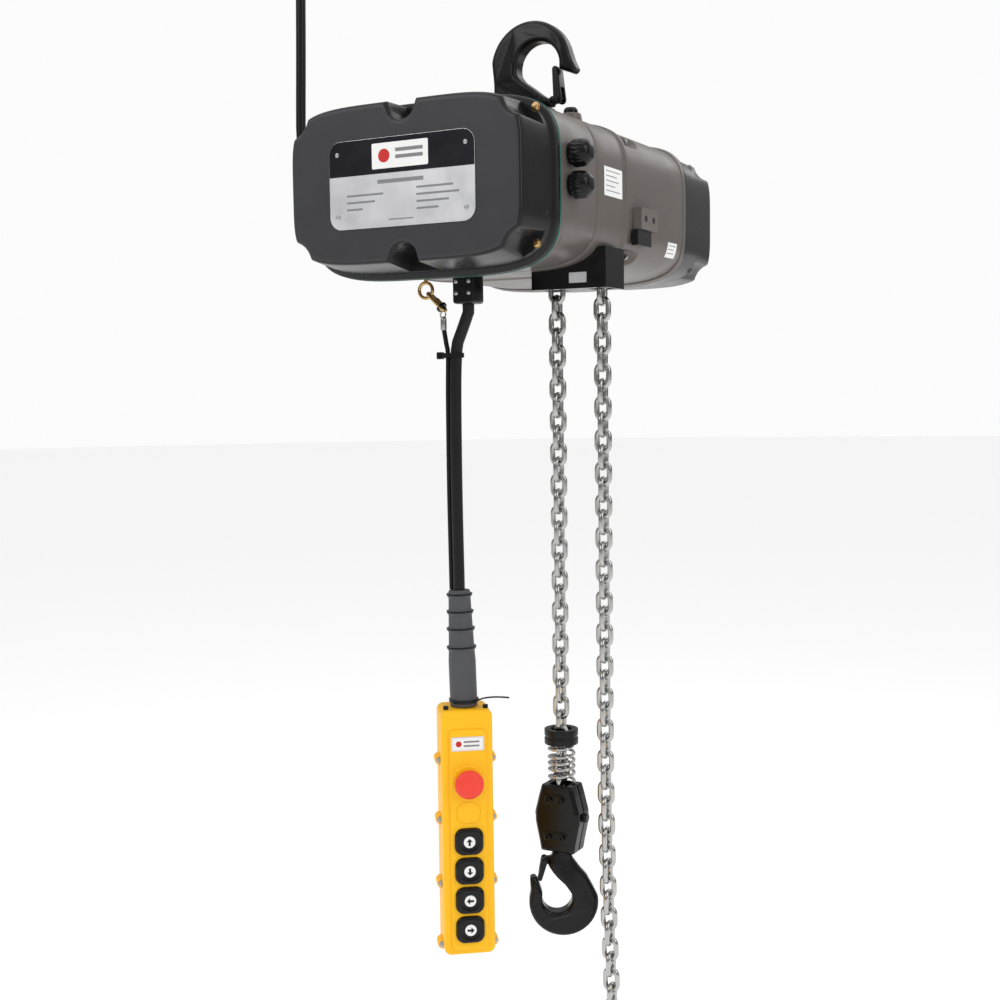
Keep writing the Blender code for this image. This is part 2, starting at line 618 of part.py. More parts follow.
def coil(radius, wire, low, high, turns, steps=10, around=5):
    """A spring's wire about z. Its centre line runs from the lower end to the upper one."""
    rings = []
    for step in range(turns * steps + 1):
        angle = math.tau * step / steps
        outwards = Vector((math.cos(angle), math.sin(angle), 0))
        level = low + (high - low) * step / (turns * steps)
        rings.append([outwards * (radius + x) + Vector((0, 0, level + y))
                      for x, y, _ in circle(wire, 0, around)])
    return loft(rings)


def buffer(hoist):
    """The stop disc and the spring that it presses, both round the chain."""
    at = (LOAD_X, CHAIN_Y, 0)
    solid("buffer_spring", coil(16.5, 2, BLOCK_TOP + 2.3, -720.3, 5), "bright_steel", hoist, at)
    disc = ((22.5, -717.5), (22.5, -697.5), (13.5, -697.5), (13.5, -717.5))
    solid("stop_disc", turned(disc, cyclic=True), "black_rubber", hoist, at)


def link(shape, flat, centre, upper, lower):
    """One chain link's envelope, flat in the x-z plane or in the y-z plane."""
    side, edge = (LINK_WIDTH / 2, WIRE / 2) if flat else (WIRE / 2, LINK_WIDTH / 2)
    x, z = centre
    corners = ((-side, -edge), (side, -edge), (side, edge), (-side, edge))
    ends = [[shape.verts.new((x + across, depth, z + level)) for across, depth in corners]
            for level in (-lower, upper)]
    for corner in range(4):
        after = (corner + 1) % 4
        shape.faces.new((ends[0][corner], ends[0][after], ends[1][after], ends[1][corner]))
    shape.faces.new(reversed(ends[0]))
    shape.faces.new(ends[1])


def chain_run(name, centres, first, parted_top, parted_bottom, parent):
    """A run of links as one body: those flat one way, joined to those flat the other way."""
    shapes = (bmesh.new(), bmesh.new())
    last = len(centres) - 1
    for index, centre in enumerate(centres):
        upper = PARTED_HALF if index == 0 and parted_top else LINK_HALF
        lower = PARTED_HALF if index == last and parted_bottom else LINK_HALF
        way = (first + index) % 2
        link(shapes[way], way == 0, centre, upper, lower)
    run = solid(name, shapes[0], "bright_steel", parent, (0, CHAIN_Y, 0))
    combine(run, "UNION", shapes[1], (0, CHAIN_Y, 0))
    return run


def slack_offset(level):
    """How far the slack chain's lower end drifts to the side."""
    return 7 * (max(0.0, -669 - level) / 388) ** 2


def chains(hoist):
    top = BLOCK_PIN_Z + PITCH * (LOAD_LINKS - 1)
    centres = [(LOAD_X, top - PITCH * index) for index in range(LOAD_LINKS)]
    chain_run("load_chain_upper", centres[:RUN_LINKS], 0, False, True, hoist)
    chain_run("load_chain_middle", centres[RUN_LINKS:2 * RUN_LINKS], 0, True, True, hoist)
    lower = chain_run("load_chain_lower", centres[2 * RUN_LINKS:], 0, True, False, hoist)
    combine(lower, "DIFFERENCE", cylinder(4.9, -10, 10, 8), (LOAD_X, CHAIN_Y, BLOCK_PIN_Z), TOWARDS_X)
    levels = [SLACK_TOP_Z - PITCH * index for index in range(SLACK_LINKS)]
    centres = [(SLACK_X + slack_offset(level), level) for level in levels]
    chain_run("slack_chain", centres, 1, False, False, hoist)
    end = centres[-1]
    stop = ((8, -30), (14, -28), (14, 0), (9, 0))
    solid("chain_end_stop", turned(stop, 12), "black_rubber", hoist,
          (end[0], CHAIN_Y, end[1] - LINK_HALF - GAP))


def pendant_shell(name, side, pendant):
    """Half of the pendant's box, open at the seam, with its screw lugs."""
    middle = (0, PENDANT_TOP - PENDANT_HEIGHT / 2)
    outline = [Vector(point) for point in rounded(PENDANT_WIDTH, PENDANT_HEIGHT, 9, 2, middle)]
    deep = side * (PENDANT_DEPTH / 2 - (3 if side < 0 else 0))
    inner = inset(outline, PENDANT_WALL)
    seam = side * GAP / 2
    shell = solid(name, loft([
        at_depth(inset(outline, 5), deep), at_depth(outline, deep - side * 5), at_depth(outline, seam),
        at_depth(inner, seam), at_depth(inner, deep - side * PENDANT_WALL * 1.5),
    ]), "yellow_plastic", pendant)
    for edge in (-1, 1):
        for drop in LUG_DROPS:
            near, far = sorted((seam, side * 9))
            combine(shell, "UNION", cylinder(6, near, far, 8),
                    (edge * PENDANT_WIDTH / 2, 0, PENDANT_TOP - drop), TOWARDS_Y)
    return shell


def pendant(hoist):
    """The control pendant, hung from the gland and turned about its cable."""
    frame = empty("pendant_frame", hoist, PENDANT_AT, (0, 0, PENDANT_TURN))
    front = pendant_shell("pendant_front", -1, frame)
    pendant_shell("pendant_back", 1, frame)
    face = -PENDANT_DEPTH / 2
    panel = (0, PENDANT_TOP - 22 - 146)
    combine(front, "UNION", prism(rounded(47, 288, 6, 1, panel), face, face + 5))
    stop = PENDANT_TOP - STOP_DROP
    combine(front, "UNION", cylinder(22, face - 2, face + 4), (0, 0, stop), TOWARDS_Y)
    combine(front, "DIFFERENCE", cylinder(11, face - 6, face + 14), (0, 0, stop), TOWARDS_Y)
    head = ((10, 9), (10, -8), (18.6, -9), (18.6, -14), (16, -18), (9, -21))
    solid("emergency_stop", turned([(radius, face + depth) for radius, depth in reversed(head)], 16),
          "red_plastic", frame, (0, 0, stop), TOWARDS_Y)
    for number, drop in enumerate(BUTTON_DROPS, 1):
        at = (0, 0, PENDANT_TOP - drop)
        width, height = BUTTON_SIZE
        combine(front, "DIFFERENCE", prism(rounded(width + 1, height + 1, 6, 2), face - 4, face + 14), at)
        solid(f"button_{number}", prism(rounded(width, height, 6, 2), face - 5.5, face + 8, 2),
              "black_plastic", frame, at)
    cable_boot(hoist)


def cable_boot(hoist):
    """The ribbed sleeve on the pendant's cable, leaning as the cable does."""
    foot = Vector((PENDANT_AT[0], PENDANT_AT[1], PENDANT_LEVEL + GAP + 0.5))
    rise = Vector(BOOT_TOP) - foot
    rings = (5, 27, 49, 73)
    profile = [(17.5, 0), (17.5, 60)]
    for drop in reversed(rings):
        level = rise.length - drop
        radius = 14 + 2.6 * drop / rings[-1]
        profile += [(radius, level - 4), (radius + 1.8, level - 2), (radius + 1.8, level + 1)]
    profile.append((13.5, rise.length))
    solid("cable_boot", turned(profile, 12), "grey_rubber", hoist, foot,
          (0, math.atan2(rise.x, rise.z), 0))


def smooth_route(points, spacing):
    """Points about this far apart along a Catmull-Rom curve through the route."""
    points = [Vector(point) for point in points]
    ends = [2 * points[0] - points[1]] + points + [2 * points[-1] - points[-2]]
    route = [points[0]]
    for before, start, end, after in zip(ends, ends[1:], ends[2:], ends[3:]):
        steps = max(1, round((end - start).length / spacing))
        for step in range(1, steps + 1):
            t = step / steps
            slope_in = (end - before) / 2
            slope_out = (after - start) / 2
            route.append((2 * t ** 3 - 3 * t ** 2 + 1) * start + (t ** 3 - 2 * t ** 2 + t) * slope_in
                         + (3 * t ** 2 - 2 * t ** 3) * end + (t ** 3 - t ** 2) * slope_out)
    return route


def cord(name, route, radius, look, hoist):
    """A cord as a bevelled curve with filled ends."""
    points = smooth_route(route, 6 * radius)
    curve = bpy.data.curves.new(name, "CURVE")
    curve.dimensions = "3D"
    curve.bevel_depth = radius * MM
    curve.bevel_resolution = 2
    curve.use_fill_caps = True
    spline = curve.splines.new("POLY")
    spline.points.add(len(points) - 1)
    for knot, point in zip(spline.points, points):
        knot.co = (*(point * MM), 1)
    curve.materials.append(finish(look))
    place(bpy.data.objects.new(name, curve), hoist, (0, 0, 0))


def cords(hoist):
    cord("pendant_cable", PENDANT_CABLE_ROUTE, PENDANT_CABLE_RADIUS, "black_rubber", hoist)
    cord("strain_wire", STRAIN_WIRE_ROUTE, STRAIN_WIRE_RADIUS, "black_rubber", hoist)
    cord("power_cable", POWER_CABLE_ROUTE, POWER_CABLE_RADIUS, "black_rubber", hoist)
    at = Vector(POWER_CABLE_ROUTE[-1]) + Vector((0, 0, GAP))
    grip = ((10, 0), (11, 3), (11, 26), (5, 34), (4, 38))
    hanger = solid("power_cable_hanger", turned(grip, 12), "machined_steel", hoist, at)
    combine(hanger, "UNION", ring_shape(8, 2), at + Vector((0, 0, 45)))


def main():
    clear_scene()
    hoist = empty("hoist", None, -HOOK_SEAT)
    casing(hoist)
    casing_fittings(hoist)
    gear_train(hoist)
    motor(hoist)
    controls(hoist)
    top_hook(hoist)
    chains(hoist)
    buffer(hoist)
    hook_block(hoist)
    lower_hook(hoist)
    pendant(hoist)
    cords(hoist)


main()
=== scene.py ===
"""The looks of an electric chain hoist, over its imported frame.

Shapes are worked out in millimetres from the middle of the front cover's face (x right, y back, z up),
as the model's own drawing is, and TO_ROW carries them into the frame's metres.
"""

import json
import math

import bmesh
import bpy
import numpy as np
from mathutils import Matrix, Vector


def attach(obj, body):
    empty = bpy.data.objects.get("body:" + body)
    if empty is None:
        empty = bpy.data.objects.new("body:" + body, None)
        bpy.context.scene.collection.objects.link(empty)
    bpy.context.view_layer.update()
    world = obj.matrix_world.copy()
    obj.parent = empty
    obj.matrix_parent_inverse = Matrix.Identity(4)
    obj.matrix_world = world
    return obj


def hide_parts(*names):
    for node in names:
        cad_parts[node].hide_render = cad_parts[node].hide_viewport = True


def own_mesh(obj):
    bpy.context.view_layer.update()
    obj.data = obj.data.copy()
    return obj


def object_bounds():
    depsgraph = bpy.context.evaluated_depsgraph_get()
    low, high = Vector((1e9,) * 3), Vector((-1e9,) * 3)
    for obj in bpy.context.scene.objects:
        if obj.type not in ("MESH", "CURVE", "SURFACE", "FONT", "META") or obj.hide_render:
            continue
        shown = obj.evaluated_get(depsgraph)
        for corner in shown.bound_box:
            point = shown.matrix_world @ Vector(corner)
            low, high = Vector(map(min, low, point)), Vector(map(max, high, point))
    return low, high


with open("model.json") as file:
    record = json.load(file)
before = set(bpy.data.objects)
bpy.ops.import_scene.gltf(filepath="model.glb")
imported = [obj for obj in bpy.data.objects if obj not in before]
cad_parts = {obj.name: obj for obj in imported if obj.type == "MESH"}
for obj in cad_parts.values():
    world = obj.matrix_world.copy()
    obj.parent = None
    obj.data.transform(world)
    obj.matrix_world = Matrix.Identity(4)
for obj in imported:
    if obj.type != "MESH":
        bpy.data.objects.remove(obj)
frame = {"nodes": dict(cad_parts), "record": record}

CAD_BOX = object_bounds()


def at(x, y, z):
    return Matrix.Translation((x, y, z))


def turn(degrees, axis):
    return Matrix.Rotation(math.radians(degrees), 4, axis)


def scaled(factor):
    return Matrix.Scale(factor, 4)


MM = 0.001
HOOK_Y = 225.0
CHAIN_X = 94.0
GLAND_Y = 115.0
HOOK_SEAT = Vector((74, HOOK_Y, 196))
TO_ROW = scaled(MM) @ Matrix.Translation(-HOOK_SEAT)

# Turns that lay a shape drawn upwards along another axis.
STAY = turn(0, "Z")
ALONG_Y = turn(-90, "X")
FORWARD = turn(90, "X")
ALONG_X = turn(90, "Y")
LEFTWARD = turn(-90, "Y")

# Where the hooks, the chain, the pendant and the oil plug stand.
TOP_HOOK = at(62, HOOK_Y, 0)
LOWER_HOOK = at(CHAIN_X, HOOK_Y, -862.3) @ turn(28, "Z")
CHAIN = at(CHAIN_X, HOOK_Y, 0)
PENDANT = at(8.6, GLAND_Y, -139.3) @ turn(37, "Z")
OIL_PLUG = at(128, 200, 0)

# Casing section, as in the model: half sizes, each flange as (half height, level of its middle),
# superellipse power and notches as (x, z, radius). FACE_DEPTH is how far behind its face a cover turns to a
# darker, glossier copy of its paint, which is painted shade, and BORE is the radius of the opening for the
# shaft.
HALF_WIDTH = 174.0
HALF_HEIGHT = 98.0
FRONT_FLANGE = (106.5, -3.5)
REAR_FLANGE = (102.0, 0.0)
POWER = 4.5
OUTLINE_STEPS = 720
CORNER_NOTCH = (164.0, 92.0, 30.0)
MIDDLE_NOTCH = (0.0, 91.0, 18.0)
FACE_DEPTH = 1.2
BORE = 20.3

# Chain.
WIRE = 7.1
PITCH = 21.0
LINK_WIDTH = 24.0
BLOCK_PIN_Z = -815.0
SLACK_TOP_Z = -84.0
SLACK_X = 158.0

# Pendant, in its own frame: z from its gland, front face towards -y.
PENDANT_TOP = -513.2
PENDANT_HEIGHT = 319.0
PENDANT_FACE = -28.0
PANEL_FACE = -31.0
BUTTON_DROPS = (168.6, 207.0, 245.4, 283.8)
LUG_DROPS = (67.0, 145.0, 229.0, 310.0)
STOP_DROP = 91.7
BOOT_RIBS = (73, 49, 27, 5)

# Cords: route points and radius, in millimetres.
PENDANT_CABLE = ((24, 115, -140.4), (24, 115, -150), (16, 115, -169), (8, 115, -187),
                 (5, 115, -210), (3.4, 115, -260), (3, 115, -380), (4.2, 115, -501.7))
STRAIN_WIRE = ((-12.8, 115, -154.5), (-12, 115, -170), (-9, 115, -188), (-6.6, 115, -205),
               (-7.6, 115, -260), (-8, 115, -380), (-6.8, 115, -501.7))
POWER_CABLE = ((-206.4, 150, 10), (-218, 150, 10), (-240, 154, 26), (-253.5, 158.5, 57),
               (-259, 160, 99), (-258.8, 160, 130), (-256.4, 160, 205), (-254.4, 160, 280),
               (-254.4, 160, 292))

# Camera, in millimetres and degrees, and the point that the lights face, in the frame's metres.
CAMERA_AT = Vector((887.47, -1411.98, -244.12))
CAMERA_YAW = 28.30
CAMERA_PITCH = 4.65
CAMERA_ROLL = -0.77
LENS = 50
SENSOR = 36
LIT_MIDDLE = Vector((0, 0, -0.35))

# Looks: colour, its slow variation, worn-edge colour and amount, roughness from and to, metallic,
# grain size in millimetres, bump strength.
LOOKS = {
    "charcoal_paint": ((0.038, 0.038, 0.042), 0.10, (0.11, 0.11, 0.12), 0.5, (0.32, 0.42), 0.0, 0.9, 0.12),
    "housing_paint": ((0.125, 0.108, 0.098), 0.09, (0.34, 0.31, 0.29), 0.6, (0.28, 0.38), 0.15, 0.5, 0.08),
    "black_steel": ((0.0035, 0.0035, 0.0037), 0.25, (0.04, 0.04, 0.042), 0.5, (0.18, 0.30), 0.0, 2.6, 0.14),
    "bright_steel": ((0.47, 0.47, 0.46), 0.20, (0.82, 0.82, 0.81), 0.5, (0.12, 0.24), 1.0, 1.4, 0.10),
    "machined_steel": ((0.46, 0.46, 0.47), 0.12, (0.70, 0.70, 0.70), 0.4, (0.26, 0.40), 1.0, 0.8, 0.10),
    "gasket_rubber": ((0.018, 0.130, 0.098), 0.15, (0.05, 0.22, 0.17), 0.3, (0.55, 0.70), 0.0, 0.5, 0.15),
    "plate_foil": ((0.72, 0.72, 0.75), 0.12, (0.88, 0.88, 0.90), 0.4, (0.30, 0.42), 0.75, 0.5, 0.05),
    "black_plastic": ((0.0045, 0.0045, 0.005), 0.20, (0.03, 0.03, 0.033), 0.4, (0.16, 0.26), 0.0, 0.6, 0.06),
    "black_rubber": ((0.006, 0.006, 0.0064), 0.20, (0.03, 0.03, 0.03), 0.3, (0.28, 0.40), 0.0, 0.7, 0.08),
    "grey_rubber": ((0.072, 0.073, 0.080), 0.15, (0.13, 0.13, 0.14), 0.4, (0.46, 0.60), 0.0, 0.7, 0.14),
    "yellow_plastic": ((0.90, 0.475, 0.007), 0.05, (0.95, 0.62, 0.07), 0.4, (0.34, 0.46), 0.0, 0.8, 0.10),
    "red_plastic": ((0.78, 0.055, 0.035), 0.06, (0.85, 0.14, 0.10), 0.4, (0.30, 0.42), 0.0, 0.7, 0.08),
    "yellow_zinc": ((0.56, 0.37, 0.16), 0.18, (0.80, 0.62, 0.38), 0.5, (0.18, 0.32), 1.0, 0.8, 0.08),
    "copper": ((0.58, 0.26, 0.12), 0.15, (0.80, 0.45, 0.28), 0.4, (0.30, 0.45), 1.0, 0.9, 0.25),
    "brake_lining": ((0.10, 0.08, 0.07), 0.25, (0.16, 0.13, 0.11), 0.3, (0.70, 0.85), 0.0, 0.6, 0.30),
    # The cover paint again, darker and glossier: painted shade on the covers' sides, rims and notches, which
    # really share the face's paint.
    "charcoal_painted_shade": ((0.011, 0.011, 0.012), 0.15, (0.09, 0.09, 0.095), 0.5, (0.20, 0.30), 0.0, 0.9, 0.06),
    "white_print": ((0.78, 0.78, 0.77), 0.04, (0.84, 0.84, 0.83), 0.2, (0.42, 0.54), 0.0, 0.6, 0.04),
    "black_print": ((0.006, 0.005, 0.009), 0.30, (0.02, 0.02, 0.024), 0.3, (0.20, 0.32), 0.0, 1.2, 0.04),
    "grey_print": ((0.20, 0.20, 0.21), 0.12, (0.24, 0.24, 0.25), 0.2, (0.42, 0.55), 0.0, 0.6, 0.04),
    "red_print": ((0.52, 0.022, 0.018), 0.08, (0.58, 0.05, 0.04), 0.2, (0.38, 0.50), 0.0, 0.6, 0.04),
}

# All looks: reflection of paint and plastic, size of the clouds, and the convexity where wear starts
# and where it is full.
PAINT_SPECULAR = 0.26
CLOUD_SCALE = 28
WORN_FROM = 0.56
WORN_TO = 0.68


# ---- materials ----

def node(tree, kind, values=(), sources=(), **settings):
    """A new node with these settings, input values and linked inputs."""
    made = tree.nodes.new(f"ShaderNode{kind}")
    for name, value in settings.items():
        setattr(made, name, value)
    for name, value in dict(values).items():
        made.inputs[name].default_value = value
    for name, source in dict(sources).items():
        tree.links.new(source, made.inputs[name])
    return made


def shaded(title):
    """A new node material, its tree and the inputs of its shader."""
    material = bpy.data.materials.new(title)
    material.use_nodes = True
    return material, material.node_tree, material.node_tree.nodes["Principled BSDF"].inputs


def finish(name):
    """The named look as a node material: cloudy colour, paler worn edges, uneven gloss, fine bump."""
    title = f"look_{name}"
    if title in bpy.data.materials:
        return bpy.data.materials[title]
    colour, vary, worn, wear, (smooth, rough), metallic, grain_size, bump_strength = LOOKS[name]
    dark = [part * (1 - vary) for part in colour]
    pale = [min(1, part * (1 + vary)) for part in colour]
    material, tree, shader = shaded(title)
    shader["Metallic"].default_value = metallic
    shader["Specular IOR Level"].default_value = 0.5 if metallic == 1 else PAINT_SPECULAR
    place = {"Vector": node(tree, "TexCoord").outputs["Object"]}
    cloud = node(tree, "TexNoise", {"Scale": CLOUD_SCALE, "Detail": 5, "Roughness": 0.65},
                 place).outputs["Fac"]
    grain = node(tree, "TexNoise", {"Scale": 1 / (grain_size * MM), "Detail": 3},
                 place).outputs["Fac"]
    tone = node(tree, "Mix", {"A": (*dark, 1), "B": (*pale, 1)}, {"Factor": cloud},
                data_type="RGBA")
    geometry = node(tree, "NewGeometry")
    edge = node(tree, "MapRange", {"From Min": WORN_FROM, "From Max": WORN_TO, "To Max": wear},
                {"Value": geometry.outputs["Pointiness"]})
    patchy = node(tree, "Math", (), {0: edge.outputs["Result"], 1: grain},
                  operation="MULTIPLY", use_clamp=True)
    body = node(tree, "Mix", {"B": (*worn, 1)},
                {"A": tone.outputs["Result"], "Factor": patchy.outputs["Value"]}, data_type="RGBA")
    gloss = node(tree, "MapRange",
                 {"From Min": 0.3, "From Max": 0.7, "To Min": smooth, "To Max": rough}, {"Value": cloud})
    bump = node(tree, "Bump",
                {"Strength": bump_strength, "Distance": 0.3 * grain_size * MM}, {"Height": grain})
    tree.links.new(body.outputs["Result"], shader["Base Color"])
    tree.links.new(gloss.outputs["Result"], shader["Roughness"])
    tree.links.new(bump.outputs["Normal"], shader["Normal"])
    return material


# ---- shapes ----

def loft(rings, cyclic=False):
    """A closed skin over rings of equal count. A cyclic one joins its last ring to its first."""
    shape = bmesh.new()
    loops = [[shape.verts.new(point) for point in ring] for ring in rings]
    pairs = list(zip(loops, loops[1:]))
    if cyclic:
        pairs.append((loops[-1], loops[0]))
    for near, far in pairs:
        count = len(near)
        for side in range(count):
            after = (side + 1) % count
            shape.faces.new((near[side], near[after], far[after], far[side]))
    if not cyclic:
        shape.faces.new(reversed(loops[0]))
        shape.faces.new(loops[-1])
    bmesh.ops.recalc_face_normals(shape, faces=shape.faces)
    return shape


def mesh_of(name, shape):
    """The shape as a mesh; its bmesh is freed."""
    mesh = bpy.data.meshes.new(name)
    shape.to_mesh(mesh)
    shape.free()
    return mesh


def show(name, data):
    """A new object in the scene that holds this data."""
    thing = bpy.data.objects.new(name, data)
    bpy.context.scene.collection.objects.link(thing)
    return thing


def join(shapes):
    """One bmesh that holds all the shapes."""
    whole = bmesh.new()
    for shape in shapes:
        mesh = mesh_of("part", shape)
        whole.from_mesh(mesh)
        bpy.data.meshes.remove(mesh)
    return whole


def moved(shape, *turns):
    """The shape carried by these matrices, the last one first."""
    matrix = Matrix.Identity(4)
    for turn in turns:
        matrix = matrix @ turn
    shape.transform(matrix)
    return shape


def corners(x, z):
    """The four points this far from the middle."""
    return [(side * x, level * z) for side in (-1, 1) for level in (-1, 1)]


def copies(make, places):
    """One bmesh with the made shape at each place."""
    return join([moved(make(), place) for place in places])


def worked(shapes, *modifiers):
    """The first shape with these modifiers on it. A Boolean among them uses the second shape."""
    things = [show("helper", mesh_of("helper", shape)) for shape in shapes]
    for kind, settings in modifiers:
        modifier = things[0].modifiers.new(kind, kind)
        if kind == "BOOLEAN":
            modifier.object = things[1]
        for name, value in settings.items():
            setattr(modifier, name, value)
    shape = bmesh.new()
    shape.from_object(things[0], bpy.context.evaluated_depsgraph_get())
    for thing in things:
        mesh = thing.data
        bpy.data.objects.remove(thing)
        bpy.data.meshes.remove(mesh)
    return shape


def combine(shape, operation, tools):
    for tool in tools:
        shape = worked([shape, tool], ("BOOLEAN", {"operation": operation, "solver": "EXACT"}))
    return shape


def cut(shape, *tools):
    return combine(shape, "DIFFERENCE", tools)


def weld(shape, *tools):
    return combine(shape, "UNION", tools)


def cast(shape, grid, passes):
    """The shape with its edges run soft, as a forging's or a casting's are."""
    return worked([shape],
                  ("REMESH", {"mode": "VOXEL", "voxel_size": grid}),
                  ("SMOOTH", {"factor": 0.5, "iterations": passes}))


def circle(radius, height, sides, flutes=0, depth=0.0):
    """A ring about z. Flutes are shallow grooves round it."""
    ring = []
    for side in range(sides):
        angle = math.tau * (side + 0.5) / sides
        reach = radius - depth * (0.5 - 0.5 * math.cos(flutes * angle)) ** 2
        ring.append((reach * math.cos(angle), reach * math.sin(angle), height))
    return ring


def turned(profile, sides=48, cyclic=False, flutes=0, depth=0.0, fluted=()):
    """A turned shape about z, from (radius, height) pairs. Rings numbered in fluted are fluted."""
    return loft([circle(radius, height, sides, flutes, depth if number in fluted else 0)
                 for number, (radius, height) in enumerate(profile)], cyclic)


def rounded_profile(points, radius, steps=3):
    """The (radius, height) profile with its inner corners rounded to this radius."""
    points = [Vector(point) for point in points]
    made = [tuple(points[0])]
    for before, point, after in zip(points, points[1:], points[2:]):
        arriving, leaving = before - point, after - point
        reach = min(radius, 0.45 * arriving.length, 0.45 * leaving.length)
        start = point + arriving.normalized() * reach
        end = point + leaving.normalized() * reach
        for step in range(steps + 1):
            t = step / steps
            made.append(tuple(start * (1 - t) ** 2 + point * 2 * t * (1 - t) + end * t ** 2))
    made.append(tuple(points[-1]))
    return made


def lathe(points, radius, sides=48, cyclic=False, steps=3):
    """A turned shape with the corners of its profile rounded."""
    return turned(rounded_profile(points, radius, steps), sides, cyclic)


def inset(outline, amount):
    """The (x, z) outline moved inwards by this amount."""
    outline = [Vector(point) for point in outline]
    area = sum(a.cross(b) for a, b in zip(outline, outline[1:] + outline[:1]))
    inwards = math.copysign(amount, area)
    made = []
    for before, point, after in zip(outline[-1:] + outline[:-1], outline, outline[1:] + outline[:1]):
        arriving = (point - before).normalized()
        leaving = (after - point).normalized()
        across = arriving + leaving
        made.append(point + Vector((-across.y, across.x)) * inwards / (1 + arriving.dot(leaving)))
    return made


def at_depth(outline, depth):
    return [(point[0], depth, point[1]) for point in outline]


def fillet(radius, steps=4):
    """(inset, depth) pairs round a rim, from the flat face outwards, with a guard ring first."""
    pairs = [(radius * 1.15 + 0.2, 0.0)]
    for step in range(steps + 1):
        angle = math.pi / 2 * step / steps
        pairs.append((radius * (1 - math.sin(angle)), radius * (1 - math.cos(angle))))
    return pairs


def prism(outline, near, far, near_radius=0.5, far_radius=0.5, steps=3):
    """An (x, z) outline pulled along y, with both rims rounded."""
    rings = [at_depth(inset(outline, inwards), near + depth)
             for inwards, depth in fillet(near_radius, steps)]
    rings += [at_depth(inset(outline, inwards), far - depth)
              for inwards, depth in reversed(fillet(far_radius, steps))]
    return loft(rings)


def arc(centre, radius, start, end, steps):
    """Points along an arc in the x-z plane, its angles in degrees."""
    angles = [math.radians(start + (end - start) * step / steps) for step in range(steps + 1)]
    return [(centre[0] + radius * math.cos(angle), centre[1] + radius * math.sin(angle))
            for angle in angles]


def rounded(width, height, radius, steps=8, middle=(0, 0)):
    """The outline of a rectangle with round corners."""
    outline = []
    for start, side, level in ((0, 1, 1), (90, -1, 1), (180, -1, -1), (270, 1, -1)):
        centre = (middle[0] + side * (width / 2 - radius), middle[1] + level * (height / 2 - radius))
        outline += arc(centre, radius, start, start + 90, steps)
    return outline


def slab(width, height, middle, near, far, radius=0.4):
    """A flat plate facing -y, with slightly rounded corners."""
    return prism(rounded(width, height, radius, 3, middle), near, far, 0.04, 0.04, 1)


def tube(points, radius, sides=12, closed=False):
    """Wire along the points, its section kept upright to the path."""
    points = [Vector(point) for point in points]
    rings = []
    across = None
    for number, point in enumerate(points):
        before = points[number - 1] if number or closed else point
        after = points[(number + 1) % len(points)] if number + 1 < len(points) or closed else point
        along = (after - before).normalized()
        if across is None:
            across = along.orthogonal().normalized()
        across = (across - along * across.dot(along)).normalized()
        other = along.cross(across)
        rings.append([point + (across * x + other * y) for x, y, _ in circle(radius, 0, sides)])
    return loft(rings, closed)


# ---- pieces ----

def piece(name, shape, slot, body="casing", stands_for=(), look=None, sharp=38):
    """A shown piece from a shape in millimetres, on its body."""
    shape.transform(TO_ROW)
    mesh = mesh_of(name, shape)
    mesh.materials.append(finish(look or slot))
    mesh.shade_smooth()
    mesh.set_sharp_from_angle(angle=math.radians(sharp))
    thing = show(name, mesh)
    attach(thing, body)
    if stands_for:
        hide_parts(*stands_for)
    return thing


# ---- camera, light and floor ----

def camera():
    data = bpy.data.cameras.new("camera")
    data.lens = LENS
    data.sensor_width = SENSOR
    data.clip_start = 0.05
    data.clip_end = 100
    thing = show("camera", data)
    thing.matrix_world = (Matrix.Translation(TO_ROW @ CAMERA_AT) @ turn(CAMERA_YAW, "Z")
                          @ turn(90 - CAMERA_PITCH, "X") @ turn(CAMERA_ROLL, "Z"))
    bpy.context.scene.camera = thing


def softbox(name, place, width, height, power):
    """An area light that faces the middle of the object."""
    data = bpy.data.lights.new(name, "AREA")
    data.shape = "RECTANGLE"
    data.size = width
    data.size_y = height
    data.energy = power
    thing = show(name, data)
    thing.location = place
    thing.rotation_mode = "QUATERNION"
    thing.rotation_quaternion = (LIT_MIDDLE - Vector(place)).to_track_quat("-Z", "Y")


def room():
    """An even pale room. What glosses see of it runs from dark near the floor to pale overhead."""
    world = bpy.data.worlds.new("studio")
    bpy.context.scene.world = world
    world.use_nodes = True
    tree = world.node_tree
    walls = tree.nodes["Background"].inputs
    walls["Color"].default_value = (1, 1, 1, 1)
    direction = node(tree, "TexCoord")
    parts = node(tree, "SeparateXYZ", (), {"Vector": direction.outputs["Generated"]})
    ceiling = node(tree, "MapRange",
                   {"From Min": -0.1, "From Max": 0.7, "To Min": 0.12, "To Max": 0.75},
                   {"Value": parts.outputs["Z"]})
    path = node(tree, "LightPath")
    strength = node(tree, "MapRange", {"To Min": 0.97},
                    {"To Max": ceiling.outputs["Result"], "Value": path.outputs["Is Glossy Ray"]})
    tree.links.new(strength.outputs["Result"], walls["Strength"])


def floor():
    mesh = mesh_of("floor", loft([circle(30, level, 64) for level in (-0.02, 0.0)]))
    thing = show("floor", mesh)
    thing.location = (0, 0, CAD_BOX[0].z - 0.32)
    paper, tree, shader = shaded("floor_paper")
    shader["Roughness"].default_value = 0.8
    grain = node(tree, "TexNoise", {"Scale": 3})
    tone = node(tree, "Mix", {"A": (0.955, 0.955, 0.955, 1), "B": (0.975, 0.975, 0.975, 1)},
                {"Factor": grain.outputs["Fac"]}, data_type="RGBA")
    tree.links.new(tone.outputs["Result"], shader["Base Color"])
    mesh.materials.append(paper)


def studio():
    softbox("key", (-1.5, -2.6, 1.5), 1.6, 1.6, 20)
    softbox("side", (2.7, -0.7, 0.9), 0.8, 2.2, 16)
    softbox("rim", (0.8, 2.6, 1.2), 1.8, 1.2, 8)
    softbox("top", (0, 0.4, 2.8), 3.0, 3.0, 20)
    room()
    floor()


# ---- cords ----

